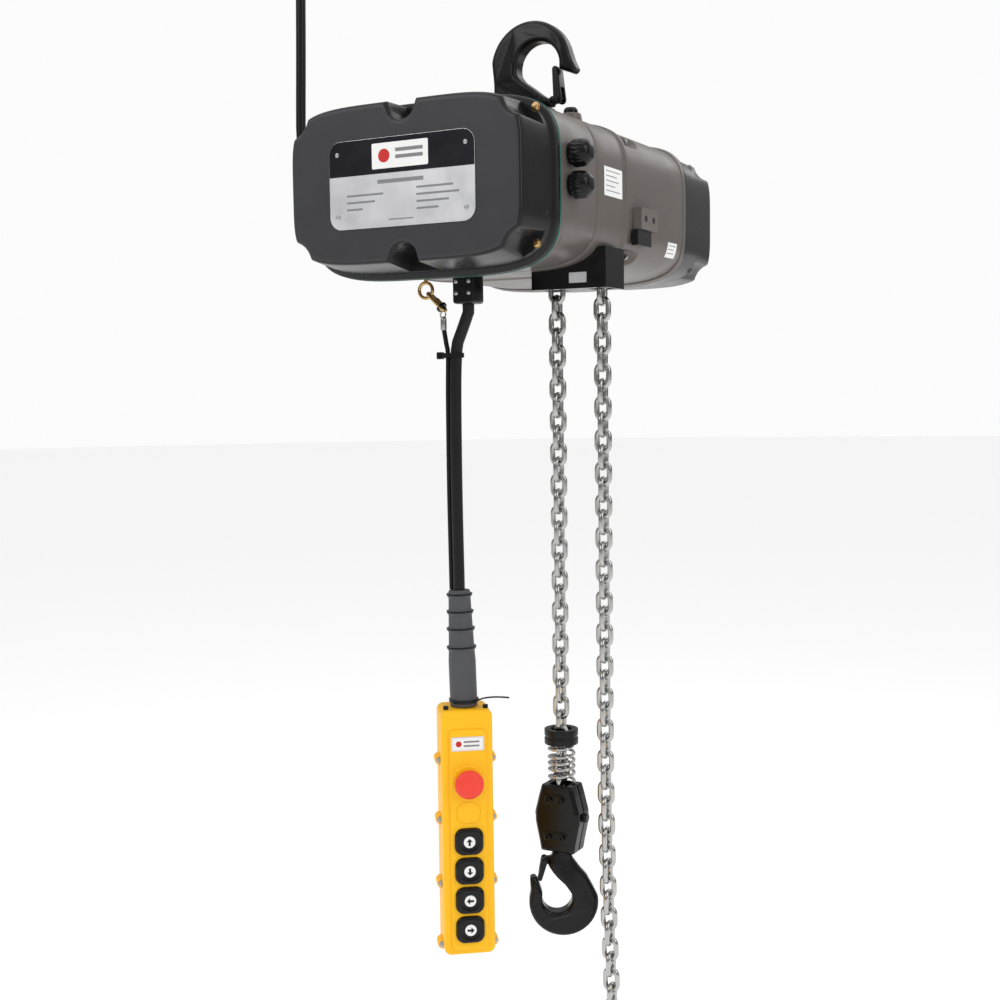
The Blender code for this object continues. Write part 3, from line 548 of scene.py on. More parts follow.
def smooth_route(points, spacing):
    """Points about this far apart along a Catmull-Rom curve through the route."""
    points = [Vector(point) for point in points]
    ends = [2 * points[0] - points[1]] + points + [2 * points[-1] - points[-2]]
    route = [points[0]]
    for before, start, end, after in zip(ends, ends[1:], ends[2:], ends[3:]):
        steps = max(1, round((end - start).length / spacing))
        for step in range(1, steps + 1):
            t = step / steps
            slope_in = (end - before) / 2
            slope_out = (after - start) / 2
            route.append((2 * t ** 3 - 3 * t ** 2 + 1) * start + (t ** 3 - 2 * t ** 2 + t) * slope_in
                         + (3 * t ** 2 - 2 * t ** 3) * end + (t ** 3 - t ** 2) * slope_out)
    return route


def cord(name, route, radius, slot, body):
    """A cord's curve on its body, with its real length."""
    points = [TO_ROW @ point for point in smooth_route(route, 2 * radius)]
    curve = bpy.data.curves.new(name, "CURVE")
    curve.dimensions = "3D"
    curve.bevel_depth = radius * MM
    curve.bevel_resolution = 8
    curve.use_fill_caps = True
    spline = curve.splines.new("POLY")
    spline.points.add(len(points) - 1)
    for knot, point in zip(spline.points, points):
        knot.co = (*point, 1)
    spline.use_smooth = True
    curve.materials.append(finish(slot))
    thing = show(f"{name}_cord", curve)
    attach(thing, body)
    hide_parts(name)
    return thing, points[0], sum((b - a).length for a, b in zip(points, points[1:]))


def cords():
    sleeve = lathe(((3.05, 0), (3.9, 0), (3.9, 13), (3.4, 16), (3.05, 16)), 0.8, 24, True)
    ferrule = piece("wire_ferrule", moved(sleeve, at(-12.4, GLAND_Y, -171.5)), "bright_steel", "pendant")
    wire, start, length = cord("strain_wire", STRAIN_WIRE, 3.0, "black_rubber", "pendant")
    cable, start, length = cord("pendant_cable", PENDANT_CABLE, 7.5, "black_rubber", "pendant")
    lead, start, length = cord("power_cable", POWER_CABLE, 6.7, "black_rubber", "casing")


# ---- casing ----

def section_ring(half_width, half_height, depth, power=POWER, notches=(), passes=0, level=0.0):
    """One ring of the casing's section about this level, its notches' edges softened in passes."""
    angle = math.tau * (np.arange(OUTLINE_STEPS) + 0.5) / OUTLINE_STEPS
    across, up = np.cos(angle), np.sin(angle)
    reach = ((abs(across) / half_width) ** power + (abs(up) / half_height) ** power) ** (-1 / power)
    for x, z, radius in notches:
        middle = across * x + up * z
        inside = middle ** 2 - (x * x + z * z - radius * radius)
        entry = middle - np.sqrt(np.maximum(inside, 0))
        reach = np.where((inside > 0) & (middle > 0), np.minimum(reach, entry), reach)
    for _ in range(passes):
        reach = (np.roll(reach, 1) + 2 * reach + np.roll(reach, -1)) / 4
    return [(r * x, depth, level + r * z) for r, x, z in zip(reach, across, up)]


def inner_ring(across, up, depth, power=POWER):
    """One ring inside the casing, this far within its section."""
    return section_ring(HALF_WIDTH - across, HALF_HEIGHT - up, depth, power)


def screw_notches(grow):
    """The six notches for the cover's screws, each radius grown."""
    x, z, radius = CORNER_NOTCH
    notches = [(*spot, radius + grow) for spot in corners(x, z)]
    x, z, radius = MIDDLE_NOTCH
    return notches + [(x, level * z, radius + grow) for level in (-1, 1)]


def cover(name, face, rim, shelf, flange):
    """A cover shell: rounded face edge, drafted sides, screw notches and a flanged rim; all but its face
    take a darker, glossier copy of its paint as painted shade.
    """
    back = math.copysign(1, rim - face)
    depth = abs(rim - face)
    shelf_depth = abs(shelf - face)
    height, middle = flange

    def wall(travel):
        """Half sizes, power and level of the outside at this distance behind the face."""
        share = min(1, max(0, (travel - 6) / (depth - 16)))
        return 160 + 8.6 * share, 95 + (height - 102) * share, 5 - 0.4 * share, middle * share

    rings = []

    def ring(travel, inwards=0.0, notched=True, grow=0.0):
        half_width, half_height, power, level = wall(travel)
        notches = screw_notches(inwards + grow) if notched else ()
        rings.append(section_ring(half_width - inwards, half_height - inwards, face + back * travel,
                                  power, notches, int(notched), level))

    for inwards, travel in fillet(6.5, 6):
        ring(travel, inwards)
    for share in (0.25, 0.5, 0.75, 0.97):
        ring(shelf_depth * share)
    ring(shelf_depth)
    for travel in (shelf_depth, shelf_depth + 1.0):
        ring(travel, notched=False)
    for inwards, drop, power, before_rim in (
            (5.1, 7, 4.6, 10), (3.0, 4.4, 4.5, 8.6), (0.6, 0.8, 4.3, 7.2), (0, 0, 4.3, 6),
            (0, 0, 4.3, 0.6), (0.6, 0.6, 4.3, 0), (12, 13, 4.6, 0)):
        rings.append(section_ring(HALF_WIDTH - inwards, height - drop, rim - back * before_rim, power,
                                  level=middle))
    rings.append(section_ring(161, height - 14, rim - back, 4.6, level=middle))
    rings.append(section_ring(156, 87.5, face + back * (shelf_depth + 5), 4.8))
    for travel, inwards in ((shelf_depth + 5, 6), (shelf_depth, 6), (8, 6), (5, 9)):
        ring(travel, inwards, grow=5)
    shell = piece(f"{name}_shell", loft(rings), "charcoal_paint", "casing", [name])
    # Everything behind the face (sides, rim and notches) takes the darker copy of the paint as painted
    # shade; the face keeps the plain charcoal.
    shell.data.materials.append(finish("charcoal_painted_shade"))
    flat = (face - HOOK_SEAT.y) * MM
    for side in shell.data.polygons:
        side.material_index = int(abs(side.center.y - flat) > FACE_DEPTH * MM)


def edge_rings(half_width, half_height, depth, towards, radius=2.6, power=POWER, level=0.0):
    """Rings round an end edge of a shell, front to back; towards is +1 for its front edge."""
    rings = [section_ring(half_width - inwards, half_height - inwards, depth + towards * travel, power,
                          level=level)
             for inwards, travel in fillet(radius, 3)[1:]]
    return rings[::towards]


def electrical_housing():
    front, back = 74.6, 174.8
    height, middle = FRONT_FLANGE
    outer = edge_rings(HALF_WIDTH, height, front, 1, 1.0, 4.3, middle)
    outer += [section_ring(HALF_WIDTH, height - 0.6, front + 4, 4.3, level=middle)]
    for share in (0.12, 0.3, 0.5, 0.7, 0.88, 1.0):
        drop = 0.5 - 0.5 * math.cos(math.pi * share)
        outer.append(section_ring(HALF_WIDTH, height - 1 - (height - 1 - HALF_HEIGHT) * drop,
                                  front + 4 + 16 * share, 4.3 + 0.2 * share, level=middle * (1 - drop)))
    outer += edge_rings(HALF_WIDTH, HALF_HEIGHT, back, -1)
    inner = [inner_ring(7, 7, back), inner_ring(7, 7, front + 18),
             section_ring(HALF_WIDTH - 9, height - 12, front, 4.3, level=middle)]
    piece("electrical_housing_shell", loft(outer + inner, cyclic=True), "housing_paint", "casing",
          ["electrical_housing"])


def center_housing():
    front, back = 175.2, 274.8
    outer = edge_rings(HALF_WIDTH, HALF_HEIGHT, front, 1)
    outer += [inner_ring(0, 0, depth) for depth in (200, 230, 252, 262)] + [inner_ring(-2, -2, 265)]
    outer += edge_rings(HALF_WIDTH + 2, HALF_HEIGHT + 2, back, -1)
    inner = [inner_ring(6, 7, back), inner_ring(6, 7, front)]
    shape = loft(outer + inner, cyclic=True)
    boss = lathe(((33, 88), (31, 97.5), (30, 101), (30, 112), (18, 112), (17.4, 110), (17.4, 88)), 2.0,
                 64, cyclic=True)
    shape = cut(shape, moved(turned(((17.4, 70), (17.4, 130)), 64), TOP_HOOK))
    oil_boss = lathe(((15, 84), (13.5, 94), (12.5, 97), (3, 97)), 1.2)
    shape = weld(shape, moved(boss, TOP_HOOK), moved(oil_boss, OIL_PLUG))
    chain_slot = prism(rounded(85, 60, 3, 4, (120.5, -90)), 208, 242)
    piece("center_housing_shell", cut(shape, chain_slot), "housing_paint", "casing", ["center_housing"])


def motor_housing():
    front, back = 275.2, 472.0

    def grooves(depth):
        """The bolt groove's radius at this depth: it runs out in a scoop."""
        past = max(0.0, depth - 308) / 24
        radius = 14 * math.sqrt(max(0.0, 1 - past * past))
        if radius <= 0.5:
            return []
        return [(*spot, radius) for spot in corners(161, 80)]

    def ring(depth, inwards=0.0):
        return section_ring(HALF_WIDTH - inwards, HALF_HEIGHT - inwards, depth, POWER, grooves(depth), 1)

    outer = [ring(front + travel, inwards) for inwards, travel in fillet(1.6, 3)[1:]]
    outer += [ring(depth) for depth in (285, 297, 308, 314, 320, 325, 329, 331.5, 333, 345, 420)]
    outer += edge_rings(HALF_WIDTH, HALF_HEIGHT, back, -1)
    inner = [inner_ring(14, 10, back, 3), inner_ring(14, 10, front + 10, 3)]
    inner += [section_ring(BORE, BORE, depth, 2) for depth in (front + 10, front)]
    piece("motor_housing_shell", loft(outer + inner, cyclic=True), "housing_paint", "casing",
          ["motor_housing"])
    screws("motor_bolts", socket_screw, corners(156, 74.5), front + 25, "machined_steel", 0.75,
           lay=ALONG_Y)


def end_shield():
    near, far = 472.4, 484.0
    outer = edge_rings(HALF_WIDTH, HALF_HEIGHT + 2, near, 1, 1.2)
    outer += edge_rings(HALF_WIDTH, HALF_HEIGHT + 4, far, -1, 1.2)
    bore = [section_ring(BORE, BORE, depth, 2) for depth in (far, near)]
    piece("end_shield_plate", loft(outer + bore, cyclic=True), "housing_paint", "casing", ["end_shield"])


def gasket():
    height, middle = FRONT_FLANGE
    rings = [section_ring(174.5, height + 0.5, depth, 4.3, level=middle) for depth in (72.3, 74.3)]
    rings += [section_ring(162, height - 14, depth, 4.3, level=middle) for depth in (74.3, 72.3)]
    piece("front_gasket_sheet", loft(rings, cyclic=True), "gasket_rubber", "casing", ["front_gasket"])


def pan_screw():
    """A pan-head screw with a cross recess; its head rises from z = 0."""
    head = lathe(((6.4, 0), (6.4, 2.2), (4.6, 4.2), (0.4, 4.5)), 1.4, 32, steps=4)
    for width, height in ((7.2, 1.5), (1.5, 7.2)):
        blade = prism(rounded(width, height, 0.3, 1), 2.4, 6, 0.1, 0.1, 1)
        head = cut(head, moved(blade, FORWARD))
    washer = lathe(((6.6, -0.9), (8.2, -0.9), (8.2, 0.0), (6.6, 0.0)), 0.3, 32)
    return join([head, washer])


def socket_screw():
    """A socket-head screw; its head rises from z = 0."""
    head = lathe(((5.6, 0), (5.6, 6.6), (0.5, 6.6)), 0.7, 32)
    return cut(head, turned(((2.6, 2.5), (2.6, 9)), 6))


def screws(name, make, spots, depth, slot, size, body="casing", place=STAY, lay=FORWARD):
    """One piece with a screw, scaled to this size, at each (x, z) spot at this depth."""
    places = [place @ at(x, depth, z) @ lay @ scaled(size) for x, z in spots]
    piece(name, copies(make, places), slot, body)


def cover_screws():
    spots = corners(153, 78) + [(0, 84), (0, -84)]
    screws("front_cover_screws", pan_screw, spots, 51.2, "yellow_zinc", 0.68)
    spots = corners(149, 74.5) + [(0, 82), (0, -82)]
    screws("rear_cover_screws", pan_screw, spots, 562.8, "machined_steel", 0.68, lay=ALONG_Y)


def nameplate():
    """A printed foil plate: dark upper band, a plain badge, rows of plain bars, four rivets."""
    whole = rounded(202, 105, 16, 10)
    piece("nameplate_foil", prism(whole, -1.3, -0.3, 0.3, 0.3, 2), "plate_foil", "casing", ["nameplate"])
    edge = inset(whole, 0.4)
    band = [point for point in edge if point.y > 12] + [Vector((-100.6, 10.5)), Vector((100.6, 10.5))]
    layers = [("band", prism(band, -1.5, -1.32, 0.03, 0.03, 1), "black_print"),
              ("badge", slab(78, 30, (0, 31), -1.7, -1.52, 1.5), "white_print"),
              ("badge_dot", prism(arc((-22, 31), 8, 0, 354, 59), -1.86, -1.72, 0.03, 0.03, 1), "red_print")]
    bars = [slab(38, 4.2, (13, level), -1.86, -1.72) for level in (36.5, 28.5)]
    rows = [(64, 4.6, 0, 1), (52, 2.4, -50, -13), (40, 2.4, -56, -21.2), (22, 2.4, -65, -29.4)]
    rows += [(width, 2.4, 22 + width / 2, -9 - 8.2 * row) for row, width in enumerate((50, 58, 44, 30))]
    rows += [(34, 1.5, 0, -44)]
    bars += [slab(width, height, (x, z), -1.46, -1.32) for width, height, x, z in rows]
    for name, shape, look in (*layers, ("print", join(bars), "grey_print")):
        piece(f"nameplate_{name}", shape, "plate_foil", look=look)
    spots = [at(x, -1.55, z) @ FORWARD for x, z in corners(89, 37)]
    rivets = copies(lambda: lathe(((2.9, 0), (2.9, 0.5), (1.6, 1.5), (0.3, 1.6)), 0.5, 24), spots)
    piece("nameplate_rivets", rivets, "machined_steel")


def side_label(name, near, far, low, high, rows):
    """A sticker on the right side of the casing, following its curve, with plain bars on it."""
    def sheet(y0, y1, z0, z1, lift, thickness):
        levels = [z0 + (z1 - z0) * step / 6 for step in range(7)]
        reach = [HALF_WIDTH * (1 - (abs(z) / HALF_HEIGHT) ** POWER) ** (1 / POWER) + lift for z in levels]
        outline = [(x + thickness, z) for x, z in zip(reach, levels)]
        outline += [(x, z) for x, z in reversed(list(zip(reach, levels)))]
        return loft([at_depth(outline, y0), at_depth(outline, y1)])

    piece(f"{name}_paper", sheet(near, far, low, high, 0.1, 0.2), "plate_foil", look="white_print")
    bars = []
    span = far - near
    for row in range(rows):
        top = high - (high - low) * (row + 0.9) / (rows + 0.9)
        width = span * (0.78, 0.6, 0.7, 0.5)[row % 4]
        bars.append(sheet(near + span * 0.1, near + span * 0.1 + width, top, top + 1.1, 0.34, 0.08))
    piece(f"{name}_print", join(bars), "plate_foil", look="grey_print")


# ---- fittings ----

def cable_glands():
    """The two ribbed glands on the right, which are capped, and the power lead's on the left."""
    profile = rounded_profile(((13, 0), (13, 4), (16.6, 4.6), (16.6, 8), (16.5, 13), (16.1, 17),
                               (14.6, 21.5), (11.2, 25), (7.6, 26.7), (0.5, 27)), 0.9, 2)
    fluted = [number for number, (_, height) in enumerate(profile) if 5.5 < height < 18]
    for name, level in (("side_gland_upper", 30), ("side_gland_lower", -7)):
        nut = turned(profile, 120, flutes=18, depth=0.9, fluted=fluted)
        nut = moved(nut, at(HALF_WIDTH + 0.3, 102, level), ALONG_X)
        piece(f"{name}_nut", nut, "black_plastic", "casing", [name])
    profile = rounded_profile(((14, 0), (14, 10), (11.5, 12), (11.5, 18), (10.4, 23), (9, 31.7),
                               (7.2, 31.7), (7.2, 20), (7.2, 1), (7.2, 0)), 0.8, 2)
    fluted = [number for number, (radius, height) in enumerate(profile) if radius > 13 and 1 < height < 9.5]
    nut = turned(profile, 120, cyclic=True, flutes=18, depth=1.2, fluted=fluted)
    nut = moved(nut, at(-HALF_WIDTH - 0.3, 150, 10), LEFTWARD)
    piece("power_cable_gland_nut", nut, "black_plastic", "casing", ["power_cable_gland"])


def pendant_gland():
    """The clamp block under the housing, its seam, and the two pairs of screws that close it."""
    block = prism(rounded(29, 41.5, 4, 6, (24, -119.25)), 100.5, 129.5, 2.2, 2.2)
    seam = prism(rounded(40, 1.4, 0.3, 2, (24, -119.5)), 96, 101.8, 0.1, 0.1, 1)
    mouth = turned(((8.6, -134), (8.6, -137), (10.8, -143)))
    block = cut(block, seam, moved(mouth, at(24, GLAND_Y, 0)))
    piece("pendant_gland_body", block, "black_plastic", "casing", ["pendant_cable_gland"])
    spots = [(x, level) for x in (15, 33) for level in (-112.5, -127)]
    screws("pendant_gland_screws", pan_screw, spots, 100.6, "machined_steel", 0.42)


def eye_and_snap():
    """The strain wire's eye bolt, its snap hook hanging aslant, and the wire's eye."""
    eye = at(-37.7, GLAND_Y, -120.6)
    collar = lathe(((2.5, 9), (2.5, 16), (6.8, 17), (6.8, 20), (3, 21), (3, 22)), 0.7, 32)
    ring = [(x, 0, z) for x, z in arc((0, 0), 9.75, 0, 351, 39)]
    shape = weld(tube(ring, 2.25, 14, closed=True), collar)
    piece("eye_bolt_ring", moved(shape, eye), "yellow_zinc", "casing", ["eye_bolt"])
    hang = eye @ turn(43.7, "Y") @ at(21.75, 0, 0) @ turn(-90, "Y")
    bow = [(0, x, z) for x, z in rounded(9.6, 32.4, 4.7, 8)]
    link = tube(bow, 2.3, 14, closed=True)
    gate = moved(lathe(((1.0, -9), (3.4, -9), (3.4, 5), (1.0, 5)), 0.6, 24), at(0, 4.8, 0))
    piece("snap_hook_link", moved(join([link, gate]), hang), "yellow_zinc", "casing", ["snap_hook"])
    collar = lathe(((2.2, -3), (7.0, -3), (7.0, 1.4), (2.2, 1.4)), 0.9, 28)
    piece("snap_hook_collar", moved(collar, hang, at(0, 0, -9)), "black_steel")
    legs = []
    for side in (-1, 1):
        run = [(-9.6, GLAND_Y, -146.4), (-12.5 + 2.6 * side, GLAND_Y + side, -149.5),
               (-13.2 + 3.0 * side, GLAND_Y + side, -153.5), (-12.8 + 1.2 * side, GLAND_Y, -158)]
        legs.append(tube(smooth_route(run, 1.5), 1.0, 10))
    piece("strain_wire_eye", join(legs), "bright_steel")


def cable_ties():
    """The tie that binds the pendant's cable to its strain wire, and the one at the boot's foot."""
    inner = rounded(29.5, 18.5, 9, 8, (0.6, 0))
    outer = inset(inner, -0.9)
    band = [[(x, y, level) for x, y in outline]
            for outline, level in ((outer, -206.5), (outer, -200.5), (inner, -200.5), (inner, -206.5))]
    head = prism(rounded(7.5, 9, 1.2, 3, (-17.8, -203.5)), -4, 4, 0.8, 0.8)
    tie = moved(join([loft(band, cyclic=True), head]), at(0, GLAND_Y, 0))
    piece("cable_tie", tie, "black_plastic", "pendant")
    band = lathe(((18.0, 0), (19.3, 0), (19.3, 4), (18.0, 4)), 0.3, 64, True)
    tail = [(16, -6, 2), (24, -8, 5), (34, -10, 9), (46, -12, 12), (60, -14, 14), (74, -16, 15)]
    strip = tube(smooth_route(tail, 3), 1.1, 8)
    piece("boot_tie", moved(join([band, strip]), at(8.6, GLAND_Y, -646.5)), "black_plastic", "pendant")


def oil_plug():
    plug = lathe(((9, 0), (9, 4), (8, 5), (7, 7), (0.5, 7)), 0.9)
    plug = cut(plug, turned(((3.2, 3), (3.2, 9)), 6))
    piece("oil_plug_head", moved(plug, OIL_PLUG, at(0, 0, 97.3)), "black_steel", "casing", ["oil_plug"])


# ---- hooks, block and chain ----

def taper(shape, middle, near, far, amount):
    """Thins the forging away from the bowl's middle, from near to far."""
    for vertex in shape.verts:
        away = math.hypot(vertex.co.x - middle[0], vertex.co.z - middle[1])
        share = min(1, max(0, (away - near) / (far - near)))
        vertex.co.y *= 1 - amount * share
    return shape


def dense_prism(outline, half, chamfer, layers=6):
    """A chamfered plate with extra layers through its thickness, for the taper to bend."""
    small = inset(outline, chamfer)
    rings = [at_depth(small, -half)]
    for layer in range(layers + 1):
        rings.append(at_depth(outline, (half - chamfer) * (2 * layer / layers - 1)))
    rings.append(at_depth(small, half))
    return loft(rings)


def top_hook():
    outline = [(-46, 114), (-53.4, 122), (-53.4, 150)]
    outline += arc((0, 167), 57, 170, 15, 40)
    outline += [(59.4, 168.8), (66, 156), (60, 151.5), (52, 155)]
    outline += arc((12, 165), 31, -12, 195, 48)
    outline += [(-12.5, 150), (2, 139.6), (16, 129), (29, 121.6), (30, 114)]
    body = taper(dense_prism(outline, 14, 4), (12, 165), 30, 62, 0.35)
    body = weld(body, turned(((17, 86), (17, 119))), prism(rounded(12, 10, 1, 2, (33, 122)), -5, 5))
    body = cast(body, 1.4, 7)
    stem = lathe(((13, 60), (13, 82), (16.8, 84), (16.8, 90)), 0.8)
    pin = moved(turned(((2.5, -11), (2.5, 11)), 20), at(39, 0, 122), ALONG_Y)
    piece("top_hook_forging", moved(join([body, stem, pin]), TOP_HOOK), "black_steel", "suspension_hook",
          ["top_hook"], sharp=60)


def lower_hook():
    outline = [(-12.8, 0), (-18.8, -21.5), (-13.4, -29.5), (-6.7, -37.6), (2.7, -46)]
    outline += arc((-8, -64), 20, 17, -197, 48)
    outline += [(-30.5, -48), (-32.2, -41.6), (-37.6, -35), (-44.3, -37)]
    outline += arc((1, -70.5), 46.5, 162, 368, 52)
    outline += [(40.3, -50), (32.2, -35), (22.8, -24), (13.4, -10.7), (11, 0)]
    body = taper(dense_prism(outline, 14, 4), (-8, -64), 19, 56, 0.4)
    body = weld(body, prism(rounded(14, 10, 1, 2, (-17.5, -14)), -5, 5))
    body = cast(body, 1.4, 7)
    stem = lathe(((9, -6), (10, -5), (10, 24)), 0.4)
    pin = moved(turned(((2.5, -11), (2.5, 11)), 20), at(-24.5, 0, -14), ALONG_Y)
    piece("lower_hook_forging", moved(join([body, stem, pin]), LOWER_HOOK), "black_steel", "load_hook",
          ["lower_hook"], sharp=60)


def latch_plate(name, body, hook, pivot, end, half):
    """A pressed latch: a channel forked round the hook's lug, closed and rounded at its end."""
    reach = Vector(end) - Vector(pivot)
    slope = math.degrees(math.atan2(reach.y, reach.x))
    outline = arc((reach.x, reach.y), half, slope - 90, slope + 90, 12)
    outline += arc((0, 0), half + 1.5, slope + 90, slope + 270, 16)
    bar = prism(outline, -9, 9, 1.2, 1.2)
    fork = prism(rounded(2 * half + 22, 2 * half + 22, 1, 2), -5.4, 5.4)
    bar = cut(bar, fork, moved(turned(((2.9, -12), (2.9, 12)), 24), ALONG_Y))
    place = hook @ at(pivot[0], 0, pivot[1])
    piece(f"{name}_plate", moved(bar, place), "black_steel", body, [name])


def hook_block():
    """The two cast halves, their bolts and the chain pin's ends."""
    right = [(24, -862), (26, -850), (32, -822), (32, -808), (26, -785), (22, -772)]
    outline = right + [(-x, z) for x, z in reversed(right)]
    for name, side in (("front", -1), ("rear", 1)):
        small = inset(outline, 4)
        half = loft([at_depth(small, side * 20), at_depth(outline, side * 16),
                     at_depth(outline, side * 0.15)])
        half = weld(half, *[prism(rounded(width, 12, 5, 4, (0, level)), *sorted((side * 14, side * 21)))
                            for level, width in ((-790, 30), (-840, 34))])
        half = cut(cast(half, 1.3, 5), prism(rounded(26, 66, 3, 3, (0, -800)), -13, 13),
                   prism(rounded(35, 17.5, 3, 3, (0, -841.6)), -17.4, 17.4),
                   turned(((10.4, -880), (10.4, -845))))
        piece(f"hook_block_{name}_casting", moved(half, CHAIN), "black_steel", "load_block",
              [f"hook_block_{name}"], sharp=60)
    pin = lathe(((2, -37.5), (6, -37.5), (6, -14), (3.2, -13.5), (3.2, 13.5), (6, 14), (6, 37.5),
                 (2, 37.5)), 1.0, 32)
    piece("hook_block_pin_turned", moved(pin, CHAIN, at(0, 0, BLOCK_PIN_Z), ALONG_X), "black_steel",
          "load_block", ["hook_block_pin"])
    spots = ((-9, -790), (9, -790), (-10, -840), (10, -840))
    screws("hook_block_bolts", socket_screw, spots, -20.8, "black_steel", 0.72, "load_block", CHAIN)


def link_shape(flat):
    """One open chain link about its middle, flat in the x-z plane or in the y-z plane."""
    middle = (LINK_WIDTH - WIRE) / 2
    straight = (PITCH + WIRE) / 2 - middle
    outline = arc((0, straight), middle, 0, 180, 10) + arc((0, -straight), middle, 180, 360, 10)
    path = [(x, 0, z) if flat else (0, x, z) for x, z in outline]
    return tube(path, WIRE / 2, 12, closed=True)


def slack_offset(level):
    """How far the slack chain's lower end drifts to the side."""
    return 7 * (max(0.0, -669 - level) / 388) ** 2


def chain_run(name, node_name, body, centres, first):
    links = [moved(link_shape((first + number) % 2 == 0), at(x, HOOK_Y, z))
             for number, (x, z) in enumerate(centres)]
    piece(name, join(links), "bright_steel", body, [node_name])


def chains():
    top = BLOCK_PIN_Z + PITCH * 35
    centres = [(CHAIN_X, top - PITCH * number) for number in range(36)]
    chain_run("chain_upper_links", "load_chain_upper", "casing", centres[:8], 0)
    chain_run("chain_middle_links", "load_chain_middle", "chain_middle_run", centres[8:16], 0)
    chain_run("chain_lower_links", "load_chain_lower", "load_block", centres[16:], 0)
    levels = [SLACK_TOP_Z - PITCH * number for number in range(48)]
    chain_run("slack_chain_links", "slack_chain", "casing",
              [(SLACK_X + slack_offset(level), level) for level in levels], 1)
    stop = lathe(((4.5, -30), (8, -30), (14, -27), (14, 0), (9, 0), (9, -6), (4.5, -6)), 1.4, cyclic=True)
    end = at(SLACK_X + slack_offset(levels[-1]), HOOK_Y, levels[-1] - 17.9)
    piece("chain_end_buffer", moved(stop, end), "black_rubber", "casing", ["chain_end_stop"])


def buffer():
    disc = lathe(((14, -717.5), (22.5, -717.5), (22.5, -709.5), (21.2, -708.5), (21.2, -706.8),
                  (22.5, -705.8), (22.5, -697.5), (14.2, -697.5), (13.5, -700), (13.5, -717)), 0.9,
                 64, cyclic=True)
    piece("stop_disc_ring", moved(disc, CHAIN), "black_rubber", "stop_ring", ["stop_disc"])
    low, high, turns, steps = -769.7, -720.3, 5, 28
    path = []
    for step in range(turns * steps + 1):
        share = step / (turns * steps)
        angle = math.tau * step / steps
        settle = share + 0.035 * math.sin(math.tau * share)
        path.append((16.5 * math.cos(angle), 16.5 * math.sin(angle), low + (high - low) * settle))
    spring = piece("buffer_spring_coil", moved(tube(path, 2.3, 10), CHAIN), "bright_steel", "load_block",
                   ["buffer_spring"])
    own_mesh(spring)


# ---- pendant ----

def pendant_half(side):
    """One half of the pendant's box, hollow and open at the seam."""
    deep = 31 if side > 0 else -PENDANT_FACE
    outline = rounded(66, PENDANT_HEIGHT, 9, 10, (0, PENDANT_TOP - PENDANT_HEIGHT / 2))
    rings = [at_depth(inset(outline, inwards), side * (deep - depth)) for inwards, depth in fillet(5, 5)]
    seam = [(0, 1.6), (0.7, 1.1), (0.7, 0.15), (4, 0.15), (4, deep - 6), (7, deep - 6)]
    rings += [at_depth(inset(outline, inwards), side * depth) for inwards, depth in seam]
    near, far = sorted((side * 0.15, side * 9))
    lugs = [prism(arc((edge * 33.5, PENDANT_TOP - drop), 6.3, 0, 354, 29), near, far, 0.8, 0.8)
            for edge in (-1, 1) for drop in LUG_DROPS]
    return weld(loft(rings), *lugs)


def pendant_shells():
    panel = rounded(47, 288, 7, 8, (0, PENDANT_TOP - 168))
    panel = prism(panel, PANEL_FACE, PENDANT_FACE + 3, 1.6, 0.4)
    stop = at(0, 0, PENDANT_TOP - STOP_DROP) @ ALONG_Y
    collar = lathe(((10, -25), (22, -25), (22, -32.4), (20.4, -33), (10, -33)), 0.8, 72)
    front = weld(pendant_half(-1), panel, moved(collar, stop))
    holes = [moved(turned(((11, -40), (11, -10))), stop)]
    holes += [prism(rounded(37, 35, 11, 6, (0, PENDANT_TOP - drop)), -36, -12) for drop in BUTTON_DROPS]
    rim = rounded(31, 29, 11, 8, (0, PENDANT_TOP - 131.6))
    low, high = PANEL_FACE - 0.5, PANEL_FACE + 0.6
    groove = [at_depth(outline, depth) for outline, depth in (
        (rim, low), (rim, high), (inset(rim, 1.1), high), (inset(rim, 1.1), low))]
    front = cut(front, *holes, loft(groove, cyclic=True))
    piece("pendant_front_shell", moved(front, PENDANT), "yellow_plastic", "pendant", ["pendant_front"])
    piece("pendant_back_shell", moved(pendant_half(1), PENDANT), "yellow_plastic", "pendant",
          ["pendant_back"])


def pendant_details():
    spots = [(edge * 33.8, PENDANT_TOP - drop) for edge in (-1, 1) for drop in LUG_DROPS]
    screws("pendant_lug_screws", pan_screw, spots, -9.2, "machined_steel", 0.52, "pendant", PENDANT)
    spots = [(edge * 25.5, PENDANT_TOP + 0.2) for edge in (-1, 1)]
    screws("pendant_top_bolts", socket_screw, spots, -16, "black_steel", 0.62, "pendant", PENDANT, STAY)
    level = PENDANT_TOP - 42
    near, far = PANEL_FACE - 0.8, PANEL_FACE - 0.68
    bars = [slab(20, 2.2, (5, level + rise), near, far) for rise in (2.6, -2.6)]
    layers = (
        ("", slab(42, 18, (0, level), PANEL_FACE - 0.5, PANEL_FACE - 0.05, 1.5), None),
        ("_print", slab(38.5, 14.5, (0, level), PANEL_FACE - 0.66, PANEL_FACE - 0.52, 1), "white_print"),
        ("_bars", join(bars), "grey_print"),
        ("_dot", prism(arc((-11.5, level), 3.8, 0, 350, 35), near, far, 0.03, 0.03, 1), "red_print"))
    for name, shape, look in layers:
        piece(f"pendant_label{name}", moved(shape, PENDANT), "plate_foil", "pendant", look=look)


def emergency_stop():
    head = lathe(((0.4, -51.2), (9, -51.4), (15.4, -48.8), (18.2, -45.5), (18.6, -42.5), (17.6, -40.2),
                  (10, -39.4), (10, -20), (0.4, -20)), 2.2, 72, steps=4)
    shape = moved(head, PENDANT, at(0, 0, PENDANT_TOP - STOP_DROP), ALONG_Y)
    piece("emergency_stop_head", shape, "red_plastic", "stop_button", ["emergency_stop"])


